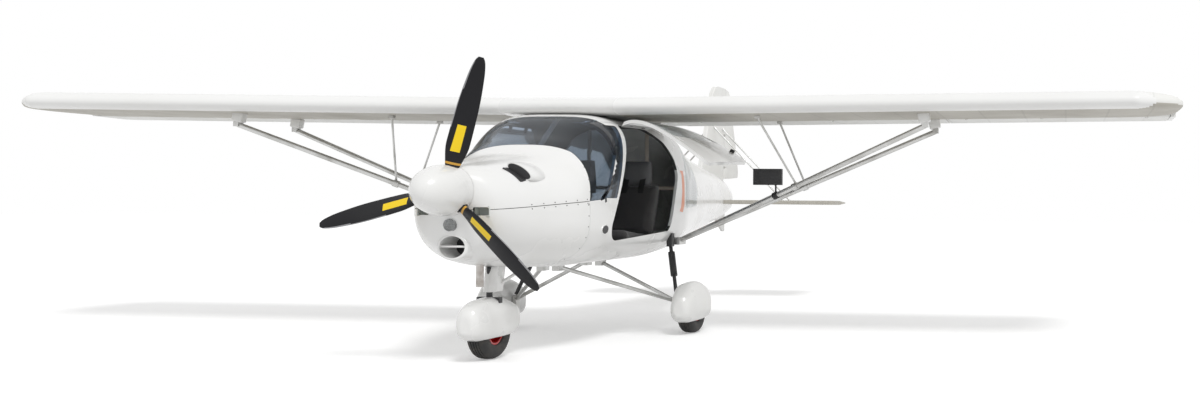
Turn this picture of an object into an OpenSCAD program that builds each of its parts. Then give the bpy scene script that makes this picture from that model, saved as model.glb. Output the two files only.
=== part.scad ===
// Two-seat high-wing ultralight aircraft on tricycle gear.
// Millimetres. Nose towards -Y, port side +X, up +Z, wheels on z = 0.
// A station is a distance aft of the propeller's plane.

/* [Fuselage] */
// Width of the cabin outside
cabin_width = 1220; // [1000:10:1480]
// Height of the belly above the ground
belly_height = 590; // [500:5:680]
// Height of the cabin roof, under the wing
roof_height = 1715; // [1640:5:2000]
// Station of the firewall
firewall_station = 800; // [740:10:900]
// Station where the cabin ends
cabin_end = 2620; // [2520:10:2900]
// Station of the rudder's rear corner
tail_end = 5920; // [5600:10:7100]
// Thickness of the cabin walls and doors
cabin_wall = 22; // [16:1:30]
// Thickness of the cowl
cowl_wall = 8; // [5:1:12]
// Thickness of the rear fuselage skin
tail_wall = 10; // [6:1:14]
// Thickness of the window panes
glazing = 5; // [3:1:8]

/* [Propeller] */
// Diameter of the propeller
prop_diameter = 1720; // [1400:10:2000]
// Number of blades
blade_count = 3; // [2:1:4]
// Widest chord of a blade
blade_chord = 135; // [100:5:165]
// Pitch of a blade at three quarters of its radius
blade_pitch = 20; // [10:1:32]
// Angle of the first blade from straight up, seen from the front
first_blade_angle = 15; // [0:1:119]
// Diameter of the spinner
spinner_diameter = 320; // [260:10:380]
// Length of the spinner ahead of the propeller's plane
spinner_length = 280; // [220:10:340]
// Height of the propeller's axis
hub_height = 1120; // [1080:5:1340]

/* [Wing] */
// Span over both tips
span = 9450; // [7900:10:11400]
// Chord, control surfaces included
wing_chord = 1300; // [1090:10:1560]
// Greatest thickness of the wing
wing_thickness = 150; // [120:5:180]
// Station of the leading edge
wing_station = 1420; // [1380:10:1500]
// Dihedral angle
dihedral = 0.7; // [0:0.1:1.5]
// Distance of the wing root from the centreline
root_x = 450; // [400:5:500]
// Chord of the flaps and ailerons behind their hinges
flap_chord = 300; // [250:5:360]
// Distance of the joint between flap and aileron from the centreline
flap_end_x = 2860; // [2500:10:3300]
// Gap around moving control surfaces
surface_gap = 6; // [5:0.5:8]
// Distance of the lift struts' upper fittings from the centreline
strut_x = 2780; // [2400:10:3300]
// Diameter of the lift struts
strut_diameter = 42; // [36:1:50]

/* [Tail] */
// Span of the tailplane
tailplane_span = 2640; // [2200:10:3160]
// Height of the tailplane's centre
tailplane_height = 1070; // [1040:5:1110]
// Chord of the fixed tailplane
stabilizer_chord = 470; // [400:5:560]
// Chord of the elevator
elevator_chord = 330; // [280:5:396]
// Height of the fin's top
fin_height = 2340; // [2100:10:2800]
// Thickness of the tail surfaces
tail_thickness = 44; // [38:1:52]

/* [Gear] */
// Diameter of the tyres
tyre_diameter = 380; // [330:5:450]
// Width of the tyres
tyre_width = 130; // [110:2:156]
// Diameter of the rims
rim_diameter = 190; // [160:5:228]
// Distance between the main wheels
track = 1620; // [1400:10:1940]
// Station of the main wheels
main_station = 2150; // [2050:10:2300]
// Station of the nose wheel
nose_station = 520; // [480:10:560]
// Diameter of the axles
axle_diameter = 25; // [20:1:30]
// Diameter of the gear legs
leg_diameter = 30; // [26:1:36]

/* [Doors] */
// Height of the door sill
door_sill = 790; // [740:5:850]
// Height of the door's top edge
door_top = 1640; // [1560:5:1650]
// Station of the door's front lower corner
door_front = 1090; // [1060:5:1140]
// Station of the door's rearmost point
door_rear = 2400; // [2350:5:2480]
// Gap round the doors
door_gap = 6; // [5:0.5:8]
// Angle by which the port door stands open
door_open_angle = 62; // [0:1:70]

/* [Hidden] */
$fn = 48;
seat_gap = 0.3; // between pieces that rest on each other
pin_gap = 0.3;  // between a pin and its bore
eps = 1;

prop_y = spinner_length - (spinner_length + tail_end) / 2;
function st(station) = station + prop_y;

cabin_half = cabin_width / 2;
spinner_r = spinner_diameter / 2;
cowl_front = 44;
white = [0.94, 0.94, 0.93];
black = [0.08, 0.08, 0.09];
metal = [0.72, 0.73, 0.75];
clear = [0.75, 0.82, 0.88, 0.5];

// ---------- Lofted bodies ----------
// A section row: station, half width, lowest, widest and highest point,
// squareness below and above the widest point (2 is an ellipse).
S = 0; W = 1; LO = 2; MID = 3; HI = 4; PL = 5; PH = 6;
ring_n = 32;

cowl_rows = [
    [cowl_front, spinner_r, hub_height - spinner_r, hub_height, hub_height + spinner_r, 2, 2],
    [110, 270, 745, 1030, 1285, 2.2, 2.2],
    [300, 380, 655, 970, 1300, 2.3, 2.2],
    [560, 485, 615, 950, 1335, 2.4, 2.3],
    [firewall_station, cabin_half * 0.93, belly_height + 12, 960, 1385, 2.7, 2.5],
    [1050, cabin_half * 0.98, belly_height, 980, 1520, 3, 2.8]
];
cabin_rows = [
    [firewall_station, cabin_half * 0.93, belly_height + 12, 960, 1385, 2.7, 2.5],
    [1050, cabin_half * 0.98, belly_height, 980, 1520, 3, 2.8],
    [1450, cabin_half, belly_height, 1000, roof_height, 3, 3.7],
    [2100, cabin_half, belly_height, 1000, roof_height, 3, 4],
    [cabin_end, cabin_half * 0.94, belly_height + 20, 1000, roof_height, 2.8, 3.6]
];
rear_rows = [
    [cabin_end, cabin_half * 0.94, belly_height + 20, 1000, roof_height, 2.8, 3.6],
    [3100, cabin_half * 0.78, belly_height + 60, 1020, 1640, 2.6, 2.8],
    [3800, cabin_half * 0.55, belly_height + 135, 1060, 1525, 2.4, 2.4],
    [4600, cabin_half * 0.33, belly_height + 220, 1080, 1420, 2.2, 2.2],
    [tail_end - 670, 105, belly_height + 320, 1090, 1325, 2.1, 2.1],
    [tail_end - 330, 50, belly_height + 400, 1090, 1215, 2, 2]
];

function powered(t, p) = sign(t) * pow(abs(t), 2 / p);
// Points of one section, drawn in by a wall thickness.
function ring(row, wall) = [
    for (i = [0 : ring_n - 1])
        let (a = 360 * i / ring_n,
             up = sin(a) >= 0,
             p = up ? row[PH] : row[PL],
             rise = (up ? row[HI] - row[MID] : row[MID] - row[LO]) - wall)
        [(row[W] - wall) * powered(cos(a), p), st(row[S]), row[MID] + rise * powered(sin(a), p)]
];
function joined(lists) = [for (list = lists) for (item = list) item];
function band(start, next, flip) = [
    for (i = [0 : ring_n - 1])
        let (j = (i + 1) % ring_n,
             quad = [start + i, start + j, next + j, next + i])
        each flip ? [[quad[2], quad[1], quad[0]], [quad[3], quad[2], quad[0]]]
                  : [[quad[0], quad[1], quad[2]], [quad[0], quad[2], quad[3]]]
];

// A solid through the sections, drawn in by a sink or grown by a negative one.
module loft(rows, sink = 0) {
    n = len(rows);
    points = joined([for (row = rows) ring(row, sink)]);
    sides = joined([for (k = [0 : n - 2]) band(k * ring_n, (k + 1) * ring_n, false)]);
    front = [for (i = [1 : ring_n - 2]) [0, i + 1, i]];
    last = (n - 1) * ring_n;
    back = [for (i = [1 : ring_n - 2]) [last, last + i, last + i + 1]];
    polyhedron(points, concat(sides, front, back), convexity = 6);
}

// A wall that follows the sections, open at both ends.
module skin(rows, wall, sink = 0) {
    n = len(rows);
    inner = n * ring_n;
    points = concat(
        joined([for (row = rows) ring(row, sink)]),
        joined([for (row = rows) ring(row, sink + wall)])
    );
    last = (n - 1) * ring_n;
    polyhedron(points, concat(
        joined([for (k = [0 : n - 2]) band(k * ring_n, (k + 1) * ring_n, false)]),
        joined([for (k = [0 : n - 2]) band(inner + k * ring_n, inner + (k + 1) * ring_n, true)]),
        band(0, inner, true),
        band(last, inner + last, false)
    ), convexity = 8);
}

// ---------- Shared shapes ----------
// A side outline, in stations and heights, extruded across from x0 to x1.
module side_prism(outline, x0 = -2000, x1 = 2000) {
    translate([x0, 0, 0])
        rotate([90, 0, 90])
            linear_extrude(x1 - x0)
                polygon([for (p = outline) [st(p[0]), p[1]]]);
}

// The same outline grown by a margin, or shrunk by a negative one.
module side_prism_grown(outline, margin, x0 = -2000, x1 = 2000) {
    translate([x0, 0, 0])
        rotate([90, 0, 90])
            linear_extrude(x1 - x0)
                offset(delta = margin)
                    polygon([for (p = outline) [st(p[0]), p[1]]]);
}

// A straight round bar between two points.
module bar(a, b, d, fn = 32) {
    v = b - a;
    length = norm(v);
    translate(a)
        rotate([0, acos(v[2] / length), atan2(v[1], v[0])])
            cylinder(d = d, h = length, $fn = fn);
}

// A round sleeve about the line from a to b, centred a share of the way along.
module sleeve(a, b, share, bore_d, d, length) {
    v = b - a;
    translate(a + v * share)
        rotate([0, acos(v[2] / norm(v)), atan2(v[1], v[0])])
            difference() {
                cylinder(d = d, h = length, center = true, $fn = 32);
                cylinder(d = bore_d, h = length + 2 * eps, center = true, $fn = 32);
            }
}

// The hull as fittings outside it meet it, and the room inside the cabin.
module hull_outside() {
    loft(cabin_rows, -seat_gap);
}

module cabin_room() {
    loft(cabin_rows, cabin_wall + seat_gap);
}

module both_sides() {
    children();
    mirror([1, 0, 0]) children();
}

// A cylinder along X, centred on a point.
module cross_cylinder(at, d, length) {
    translate(at) rotate([0, 90, 0]) cylinder(d = d, h = length, center = true);
}

function p3(x, station, z) = [x, st(station), z];

// ---------- Propeller ----------
module spinner() {
    color(white)
        translate(p3(0, 0, hub_height))
            rotate([90, 0, 0])
                difference() {
                    rotate_extrude()
                        polygon([
                            [0, -cowl_front + 6],
                            [spinner_r, -cowl_front + 6],
                            [spinner_r, 20],
                            for (a = [10 : 10 : 90])
                                [spinner_r * cos(a), 20 + (spinner_length - 20) * sin(a)]
                        ]);
                    hub_r = spinner_r * 0.42;
                    translate([0, 0, -cowl_front]) cylinder(r = hub_r + seat_gap, h = cowl_front + 40);
                    for (k = [0 : blade_count - 1])
                        rotate([0, 0, 90 - first_blade_angle - k * 360 / blade_count])
                            rotate([0, 90, 0])
                                cylinder(d = root_d + 8, h = spinner_r + 20);
                }
}

root_d = 62;
blade_start = spinner_r * 0.42 + seat_gap;
// Blade sections: distance along the blade from 0 to 1, chord as a share, thickness, turn
blade_rows = [
    [0.20, 0.72, 30, 42],
    [0.35, 1.00, 22, 33],
    [0.60, 0.96, 15, 24],
    [0.85, 0.74, 10, 18],
    [1.00, 0.34, 5, 16]
];

module blade_slice(row) {
    translate([row[0] * prop_diameter / 2 - 2, 0, 0])
        rotate([row[3] + blade_pitch - 20, 0, 0])
            rotate([0, 90, 0])
                linear_extrude(2)
                    scale([row[2] / blade_chord, row[1]])
                        circle(d = blade_chord, $fn = 20);
}

module propeller_blades() {
    color(black)
        translate(p3(0, 0, hub_height))
            rotate([90, 0, 0])
                for (k = [0 : blade_count - 1])
                    rotate([0, 0, 90 - first_blade_angle - k * 360 / blade_count]) {
                        translate([blade_start, 0, 0])
                            rotate([0, 90, 0])
                                cylinder(d = root_d, h = blade_rows[0][0] * prop_diameter / 2 - blade_start);
                        for (i = [0 : len(blade_rows) - 2])
                            hull() {
                                blade_slice(blade_rows[i]);
                                blade_slice(blade_rows[i + 1]);
                            }
                    }
}

shaft_d = 60;
module propeller_hub() {
    color(metal)
        translate(p3(0, 0, hub_height))
            rotate([90, 0, 0]) {
                translate([0, 0, -cowl_front])
                    cylinder(r = spinner_r * 0.42, h = cowl_front + 38);
                translate([0, 0, -gearbox_station + seat_gap])
                    cylinder(d = shaft_d, h = gearbox_station - cowl_front);
            }
}

// ---------- Engine bay ----------
gearbox_station = 190;
engine_length = 420;
inlet_x = 190;
inlet_z = 992;
duct_z = 765;
duct_d = 138;
duct_front = 80;
duct_length = 200;

module cowl_region_upper() {
    side_prism([
        [cowl_front - eps, 1000], [cowl_front - eps, 1800], [960, 1800],
        [950, 1410], [windshield_base_s, windshield_base_z], [300, 1020]
    ]);
}

windshield_base_s = firewall_station + 4;
windshield_base_z = 1062;

module cowl_upper() {
    color(white)
        difference() {
            intersection() {
                skin(cowl_rows, cowl_wall);
                cowl_region_upper();
            }
            cowl_inlets();
            // cooling slot on the port side
            translate(p3(285, 345, 1235))
                rotate([0, 38, 0])
                    cube([34, 150, 90], center = true);
        }
}

module cowl_inlets() {
    for (side = [-1, 1])
        translate(p3(side * inlet_x, 110, inlet_z))
            rotate([90, 0, 0])
                cube([86, 52, 240], center = true);
}

module cowl_lower() {
    color(white)
        difference() {
            union() {
                intersection() {
                    skin(cowl_rows, cowl_wall);
                    side_prism([
                        [cowl_front - eps, 400], [cowl_front - eps, 1000 - seat_gap],
                        [300, 1020 - seat_gap], [firewall_station - seat_gap, 1060 - seat_gap],
                        [firewall_station - seat_gap, 400]
                    ]);
                }
                // chin duct
                translate(p3(0, duct_front, duct_z))
                    rotate([-90, 0, 0])
                        scale([1.22, 1, 1]) cylinder(d = duct_d + 30, h = duct_length);
            }
            cowl_inlets();
            translate(p3(0, 0, duct_z))
                rotate([-90, 0, 0])
                    scale([1.22, 1, 1]) cylinder(d = duct_d, h = duct_front + duct_length + eps);
            translate(p3(light_x, light_station, light_z))
                rotate([90, 0, 0]) cylinder(d = light_d + 2 * seat_gap, h = 200, center = true);
            translate(p3(0, exhaust_station, 600))
                cylinder(d = exhaust_d + 12, h = 200, center = true);
            // where the nose leg passes
            translate(p3(0, leg_top_station, 600))
                cube([leg_box[0] + 20, leg_box[1] + 20, 300], center = true);
        }
}

module engine_block() {
    color([0.3, 0.3, 0.32]) {
        translate(p3(0, gearbox_station + 45, hub_height))
            rotate([90, 0, 0])
                cylinder(d = 170, h = 90, center = true);
        translate(p3(-190, gearbox_station + 90 - eps, 900))
            cube([380, engine_length, 300]);
        // mount to the firewall
        for (x = [-150, 150])
            for (z = [940, 1120])
                translate(p3(x, gearbox_station + 80 + engine_length, z))
                    rotate([-90, 0, 0])
                        cylinder(d = 24, h = firewall_station - gearbox_station - 80 - engine_length);
    }
}

exhaust_station = 400;
exhaust_d = 48;
module exhaust_pipe() {
    color(metal)
        translate(p3(0, exhaust_station, 490))
            difference() {
                cylinder(d = exhaust_d, h = 900 - seat_gap - 490);
                translate([0, 0, -eps]) cylinder(d = exhaust_d - 6, h = 300);
            }
}

light_x = 0;
light_station = 72;
light_z = 905;
light_d = 78;
module landing_light() {
    color([0.85, 0.88, 0.9])
        translate(p3(light_x, light_station, light_z))
            rotate([90, 0, 0])
                cylinder(d = light_d, h = 64, center = true);
}

module firewall() {
    color(metal)
        translate([0, seat_gap, 0])
            loft([for (i = [0, 1]) [
                firewall_station + i * 6, cabin_half * 0.93 - cabin_wall - seat_gap,
                belly_height + 12 + cabin_wall + seat_gap, 960,
                1385 - cabin_wall - seat_gap, 2.7, 2.5
            ]]);
}

// ---------- Cabin ----------
windshield_outline = [
    [windshield_base_s, windshield_base_z], [950, 1410], [960, 1800],
    [1470, 1800], [1450, 1690], [1290, 1640], [1235, 1400],
    [1080, 1180], [960, 1075]
];
quarter_outline = [
    [985, 1085], [1100, 1170], [1262, 1400], [1320, 1630], [1425, 1630],
    [1160, 1085]
];
door_outline = [
    [door_front + 390, door_top], [door_front, door_sill + 100],
    [door_front + 8, door_sill + 45], [door_front + 38, door_sill + 8],
    [door_front + 95, door_sill - 15], [door_rear - 215, door_sill + 35],
    [door_rear - 180, door_sill + 75], [door_rear - 5, door_top - 380],
    [door_rear, door_top - 330], [door_rear - 60, door_top - 230],
    [door_rear - 230, door_top - 90], [door_rear - 430, door_top]
];
door_window_outline = [
    [door_front + 400, door_top - 60], [door_front + 190, 1140],
    [door_rear - 110, 1140], [door_rear - 75, door_top - 380],
    [door_rear - 75, door_top - 335], [door_rear - 120, door_top - 255],
    [door_rear - 270, door_top - 135], [door_rear - 445, door_top - 60]
];
rear_window_outline = [
    [cabin_end + 40, 1010], [cabin_end + 40, 1560], [3080, 1500],
    [3330, 1330], [3400, 1150], [3300, 1030]
];

hinge_z = door_top + 14;
function shoulder_x(z) =
    cabin_half * pow(1 - pow((z - 1000) / (roof_height - 1000), 3.85), 1 / 3.85);
hinge_x = shoulder_x(hinge_z) + 12;
hinge_pin_d = 8;
hinge_stations = [1620, 1860];

// The corner of the cabin that the upper cowl covers.
cowl_lap = [
    [firewall_station - 20, windshield_base_z - 1],
    [windshield_base_s + seat_gap, windshield_base_z - 1], [950 + seat_gap, 1410],
    [960 + seat_gap, 1800], [firewall_station - 20, 1800]
];

module cabin_shell() {
    color(white) {
        difference() {
            skin(cabin_rows, cabin_wall);
            side_prism(windshield_outline);
            side_prism(cowl_lap);
            side_prism(quarter_outline);
            side_prism(door_outline);
            // where the doors' hinge straps pass
            both_sides()
                for (s = hinge_stations)
                    translate(p3(hinge_x + 20, s, hinge_z))
                        cube([70, 44, 44], center = true);
        }
        both_sides() fixed_hinges();
    }
}

// Lugs on the roof edge that hold the door hinge pins.
module fixed_hinges() {
    for (s = hinge_stations) {
        for (k = [-1, 1])
            translate(p3(hinge_x, s + k * 32, hinge_z))
                rotate([90, 0, 0])
                    cylinder(d = 18, h = 20, center = true);
        for (k = [-1, 1])
            translate(p3(hinge_x - 30, s + k * 32, hinge_z - 2))
                cube([60, 20, 22], center = true);
        translate(p3(hinge_x, s, hinge_z))
            rotate([90, 0, 0]) cylinder(d = hinge_pin_d, h = 64, center = true);
    }
}

module windshield() {
    color(clear)
        intersection() {
            skin([cabin_rows[0], cabin_rows[1], cabin_rows[2], cabin_rows[3]], glazing);
            side_prism_grown(windshield_outline, -seat_gap);
        }
}

module quarter_windows() {
    color(clear)
        intersection() {
            skin([cabin_rows[0], cabin_rows[1], cabin_rows[2]], glazing);
            side_prism_grown(quarter_outline, -seat_gap);
        }
}

wing_z = roof_height + seat_gap; // underside of the wing at its root

// Aerofoil outline with its lower surface on height zero: share of chord, height as a share
upper_shape = [
    [0, 0.42], [0.008, 0.60], [0.03, 0.76], [0.08, 0.90], [0.16, 0.98],
    [0.28, 1.00], [0.45, 0.93], [0.62, 0.75]
];
lower_shape = [[0.62, 0.02], [0.30, 0], [0.10, 0.03], [0.03, 0.12], [0.008, 0.25]];

hinge_chord = wing_chord - flap_chord;
rear_top = wing_thickness * 0.46;
rear_low = wing_thickness * 0.10;
nose_r = (rear_top - rear_low) / 2;
hinge_rise = (rear_top + rear_low) / 2;
rear_cut = hinge_chord - nose_r - surface_gap; // chord where the fixed wing ends
// Height of the wing's lower surface at a chord
function wing_low(c) = wing_thickness * (
    c < 0.3 * wing_chord ? 0.03 * (0.3 - c / wing_chord) / 0.2
    : c < 0.62 * wing_chord ? 0.02 * (c / wing_chord - 0.3) / 0.32
    : 0.02 + 0.08 * (c - 0.62 * wing_chord) / (rear_cut - 0.62 * wing_chord)
);

function lowest_near(c) = min(wing_low(c - 15), wing_low(c + 15));

// Fixed part of the wing section, in stations and heights above the underside.
function wing_section(grow) = concat(
    [for (p = upper_shape) [p[0] * wing_chord, p[1] * wing_thickness + grow]],
    [[rear_cut, rear_top + grow], [rear_cut, rear_low - grow]],
    [for (p = lower_shape) [p[0] * wing_chord, p[1] * wing_thickness - grow]]
);

module wing_panel(outline, x0, x1) {
    translate([x0, 0, 0])
        rotate([90, 0, 90])
            linear_extrude(x1 - x0)
                polygon([for (p = outline) [st(wing_station + p[0]), p[1]]]);
}

// Places children of one wing, drawn flat from the centreline, at its dihedral.
module wing_frame() {
    translate([root_x, 0, wing_z])
        rotate([0, -dihedral, 0])
            translate([-root_x, 0, 0])
                children();
}

half_span = span / 2;
tip_bend = 360;
module tip_trim() {
    translate([0, 0, -200])
        linear_extrude(600)
            polygon([
                [half_span - tip_bend, st(wing_station) - 50],
                [half_span - tip_bend, st(wing_station)],
                [half_span - 60, st(wing_station + 270)],
                [half_span, st(wing_station + 420)],
                [half_span, st(wing_station + wing_chord) + 50],
                [half_span + 500, st(wing_station + wing_chord) + 50],
                [half_span + 500, st(wing_station) - 50]
            ]);
}

surface_hinge_x = [
    [root_x + 320, flap_end_x - 960, flap_end_x - 160],
    [flap_end_x + 160, flap_end_x + 780, half_span - 230]
];
lug_w = 14;
pin_d = 8;

// Hinge lugs and pins that stand out of a fixed surface at the given places.
module hinge_lugs(places, reach, thick) {
    for (x = places) {
        translate([x - lug_w / 2, -reach, -thick / 2])
            cube([lug_w, reach, thick]);
        translate([x, 0, 0]) rotate([0, 90, 0]) cylinder(d = thick, h = lug_w, center = true);
        translate([x, 0, 0]) rotate([0, 90, 0]) cylinder(d = pin_d, h = lug_w + 40, center = true);
    }
}

// Notches and bores in a moving surface that take those lugs and pins.
module hinge_notches(places, depth, thick) {
    for (x = places) {
        translate([x - lug_w / 2 - surface_gap, -depth - eps, -thick])
            cube([lug_w + 2 * surface_gap, depth + 20 + thick / 2, 2 * thick]);
        translate([x, 0, 0])
            rotate([0, 90, 0]) cylinder(d = pin_d + 2 * pin_gap, h = lug_w + 44, center = true);
    }
}

module wing_half() {
    difference() {
        wing_drawn();
        translate([-100, st(wing_station) - 100, 0])
            cube([100 + root_x + seat_gap, wing_chord + 200, 3000]);
    }
}

module wing_drawn() {
    wing_frame() {
        difference() {
            wing_panel(wing_section(0), root_x - 5, half_span);
            tip_trim();
        }
        // trailing edge beside the flap's and the aileron's ends
        difference() {
            for (x = [[root_x - 5, flap_start_x - surface_gap], [half_span - 40, half_span]])
                wing_panel([
                    [rear_cut - 10, rear_top], [wing_chord - 6, 20], [wing_chord - 6, 10],
                    [rear_cut - 10, rear_low]
                ], x[0], x[1]);
            tip_trim();
        }
        translate([0, st(wing_station + hinge_chord), hinge_rise])
            hinge_lugs(joined(surface_hinge_x), nose_r + surface_gap + 12, 20);
        // strut fittings under the wing
        for (s = strut_chords)
            translate([strut_x - 8, st(wing_station + s) - 30, fitting_low])
                cube([16, 60, 30 - fitting_low]);
    }
}
strut_chords = [270, hinge_chord - 80];
fitting_low = -63;
flap_start_x = root_x + 110;

module wing_port() {
    color(white) wing_half();
}

module wing_starboard() {
    color(white) mirror([1, 0, 0]) wing_half();
}

// One flap or aileron between two distances from the centreline.
module control_surface(x0, x1, hinges) {
    wing_frame()
        difference() {
            union() {
                translate([x0, st(wing_station + hinge_chord), hinge_rise])
                    rotate([0, 90, 0]) cylinder(r = nose_r, h = x1 - x0);
                wing_panel([
                    [hinge_chord, rear_top], [hinge_chord + flap_chord * 0.5, rear_top * 0.66],
                    [wing_chord, 18], [wing_chord, 8],
                    [hinge_chord + flap_chord * 0.5, rear_low * 0.9], [hinge_chord, rear_low]
                ], x0, x1);
            }
            translate([0, st(wing_station + hinge_chord), hinge_rise])
                hinge_notches(hinges, nose_r, 60);
        }
}

module flap_port() {
    color(white) control_surface(flap_start_x, flap_end_x - surface_gap / 2, surface_hinge_x[0]);
}

module flap_starboard() {
    color(white)
        mirror([1, 0, 0])
            control_surface(flap_start_x, flap_end_x - surface_gap / 2, surface_hinge_x[0]);
}

module aileron_port() {
    color(white)
        control_surface(flap_end_x + surface_gap / 2, half_span - 40 - surface_gap, surface_hinge_x[1]);
}

module aileron_starboard() {
    color(white)
        mirror([1, 0, 0])
            control_surface(flap_end_x + surface_gap / 2, half_span - 40 - surface_gap, surface_hinge_x[1]);
}

// Fairing over the cabin that joins the two wing roots.
module roof_fairing() {
    color(white)
        translate([0, 0, wing_z]) {
            wing_panel(wing_section(0), -root_x, root_x);
            // nose that meets the windshield
            wing_panel([
                [-40, 0], [-34, 30], [-14, 62], [20, wing_thickness * 0.8],
                [80, wing_thickness * 0.9], [80, 0]
            ], -root_x, root_x);
            // tail that runs down on to the rear fuselage
            wing_panel([
                [hinge_chord - 120, rear_top + 14], [wing_chord, 34],
                [wing_chord + 60, 0], [hinge_chord - 120, 0]
            ], -root_x, root_x);
        }
}

panel_top = 1352;
module instrument_panel() {
    color(black)
        intersection() {
            union() {
                side_prism([
                    [970, 1120], [985, 1300], [1010, panel_top], [1060, panel_top],
                    [1090, 1180], [1080, 1120]
                ], -cabin_half * 0.78, cabin_half * 0.78);
                // centre column down to the floor
                side_prism([
                    [960, 500], [970, 1120], [1080, 1120], [1100, 900], [1250, 700], [1250, 500]
                ], -70, 70);
            }
            cabin_room();
        }
}

module cabin_tubes() {
    color(metal)
        intersection() {
            union() {
                // slanted tube behind the windshield
                difference() {
                    bar(p3(0, 1015, panel_top - 30), p3(0, 1520, roof_height + 20), 36);
                    translate(p3(-100, 900, panel_top + seat_gap - 400)) cube([200, 200, 400]);
                }
                // cross tube and uprights behind the seats
                cross_cylinder(p3(0, cabin_end - 60, 1180), 32, cabin_width);
                both_sides()
                    bar(p3(cabin_half * 0.42, cabin_end - 60, 1180),
                        p3(cabin_half * 0.42, cabin_end - 60, roof_height), 32);
            }
            cabin_room();
        }
}

seat_w = 440;
seat_x = 285;
module seat(side) {
    intersection() {
        translate([side * seat_x, 0, 0])
            side_prism([
                [1560, 500], [1540, 800], [1560, 850], [1980, 800], [2010, 820],
                [2240, 1240], [2270, 1420], [2320, 1420], [2330, 1240], [2100, 500]
            ], -seat_w / 2, seat_w / 2);
        cabin_room();
    }
}

module seat_port() {
    color([0.18, 0.17, 0.17]) seat(1);
}

module seat_starboard() {
    color([0.18, 0.17, 0.17]) seat(-1);
}

// ---------- Doors ----------
module door_panel() {
    difference() {
        union() {
            intersection() {
                skin([cabin_rows[1], cabin_rows[2], cabin_rows[3], cabin_rows[4]], cabin_wall);
                side_prism_grown(door_outline, -door_gap, 0, 2000);
                // the slanted edges rise as the door opens
                translate([0, 0, -16]) side_prism_grown(door_outline, -door_gap, 0, 2000);
                // the upper edge turns in as the door opens
                translate(p3(0, 0, 0)) cube([2000, 4000, door_top - 14]);
            }
            for (s = hinge_stations) {
                translate(p3(hinge_x, s, hinge_z))
                    rotate([90, 0, 0]) cylinder(d = 18, h = 36, center = true);
                translate(p3(hinge_x + 6, s, hinge_z - 28))
                    rotate([0, -24, 0])
                        cube([10, 36, 56], center = true);
            }
        }
        side_prism_grown(door_window_outline, 0, 0, 2000);
        for (s = hinge_stations)
            translate(p3(hinge_x, s, hinge_z))
                rotate([90, 0, 0]) cylinder(d = hinge_pin_d + 2 * pin_gap, h = 80, center = true);
    }
}

module door_pane() {
    intersection() {
        skin([cabin_rows[1], cabin_rows[2], cabin_rows[3], cabin_rows[4]], glazing, 4);
        side_prism_grown(door_window_outline, -seat_gap, 0, 2000);
    }
}

// Swings a closed port door about its hinge by an angle.
module swung(angle) {
    translate([hinge_x, 0, hinge_z])
        rotate([0, -angle, 0])
            translate([-hinge_x, 0, -hinge_z])
                children();
}

module door_port() {
    color(white) swung(door_open_angle) door_panel();
}

module door_window_port() {
    color(clear) swung(door_open_angle) door_pane();
}

module door_starboard() {
    color(white) mirror([1, 0, 0]) door_panel();
}

module door_window_starboard() {
    color(clear) mirror([1, 0, 0]) door_pane();
}

// ---------- Rear fuselage ----------
module rear_fuselage() {
    color(white)
        union() {
            difference() {
                translate([0, seat_gap, 0]) skin(rear_rows, tail_wall);
                side_prism(rear_window_outline);
                tail_slots();
            }
            // ventral fin
            side_prism([
                [tail_end - 830, belly_height + 310], [tail_end - 560, belly_height + 150],
                [tail_end - 500, belly_height + 150], [tail_end - 500, belly_height + 380]
            ], -12, 12);
        }
}

module rear_windows() {
    color(clear)
        intersection() {
            translate([0, seat_gap, 0]) skin([rear_rows[0], rear_rows[1], rear_rows[2]], glazing);
            side_prism_grown(rear_window_outline, -seat_gap);
        }
}

// ---------- Tail ----------
tail_hinge = tail_end - 480;       // station of the elevator's hinge line
tail_front = tail_hinge - stabilizer_chord;
half_tail = tailplane_span / 2;
tail_r = tail_thickness / 2;
rudder_hinge = tail_end - 560;

// The room for the tailplane through the rear fuselage.
module tail_slots() {
    room = tail_r + surface_gap;
    translate(p3(-1000, tail_front - 6, tailplane_height - tail_r - seat_gap))
        cube([2000, stabilizer_chord, tail_thickness + 2 * seat_gap]);
    translate(p3(-1000, tail_hinge - room, tailplane_height - room))
        cube([2000, 2 * room, 2 * room]);
}

module stabilizer() {
    color(white)
        difference() {
            union() {
                translate([0, 0, tailplane_height - tail_r])
                    linear_extrude(tail_thickness)
                        polygon([
                            [-half_tail + 60, st(tail_front + 60)], [-half_tail * 0.3, st(tail_front)],
                            [half_tail * 0.3, st(tail_front)], [half_tail - 60, st(tail_front + 60)],
                            [half_tail, st(tail_front + 130)],
                            [half_tail, st(tail_hinge) - tail_r - surface_gap],
                            [-half_tail, st(tail_hinge) - tail_r - surface_gap],
                            [-half_tail, st(tail_front + 130)]
                        ]);
                translate([0, st(tail_hinge), tailplane_height])
                    hinge_lugs(elevator_hinge_x, tail_r + surface_gap + 10, 20);
            }
        }
}
elevator_hinge_x = [-half_tail + 140, -260, 260, half_tail - 140];
elevator_root = 115; // where the elevator's halves begin beside the fuselage

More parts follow.
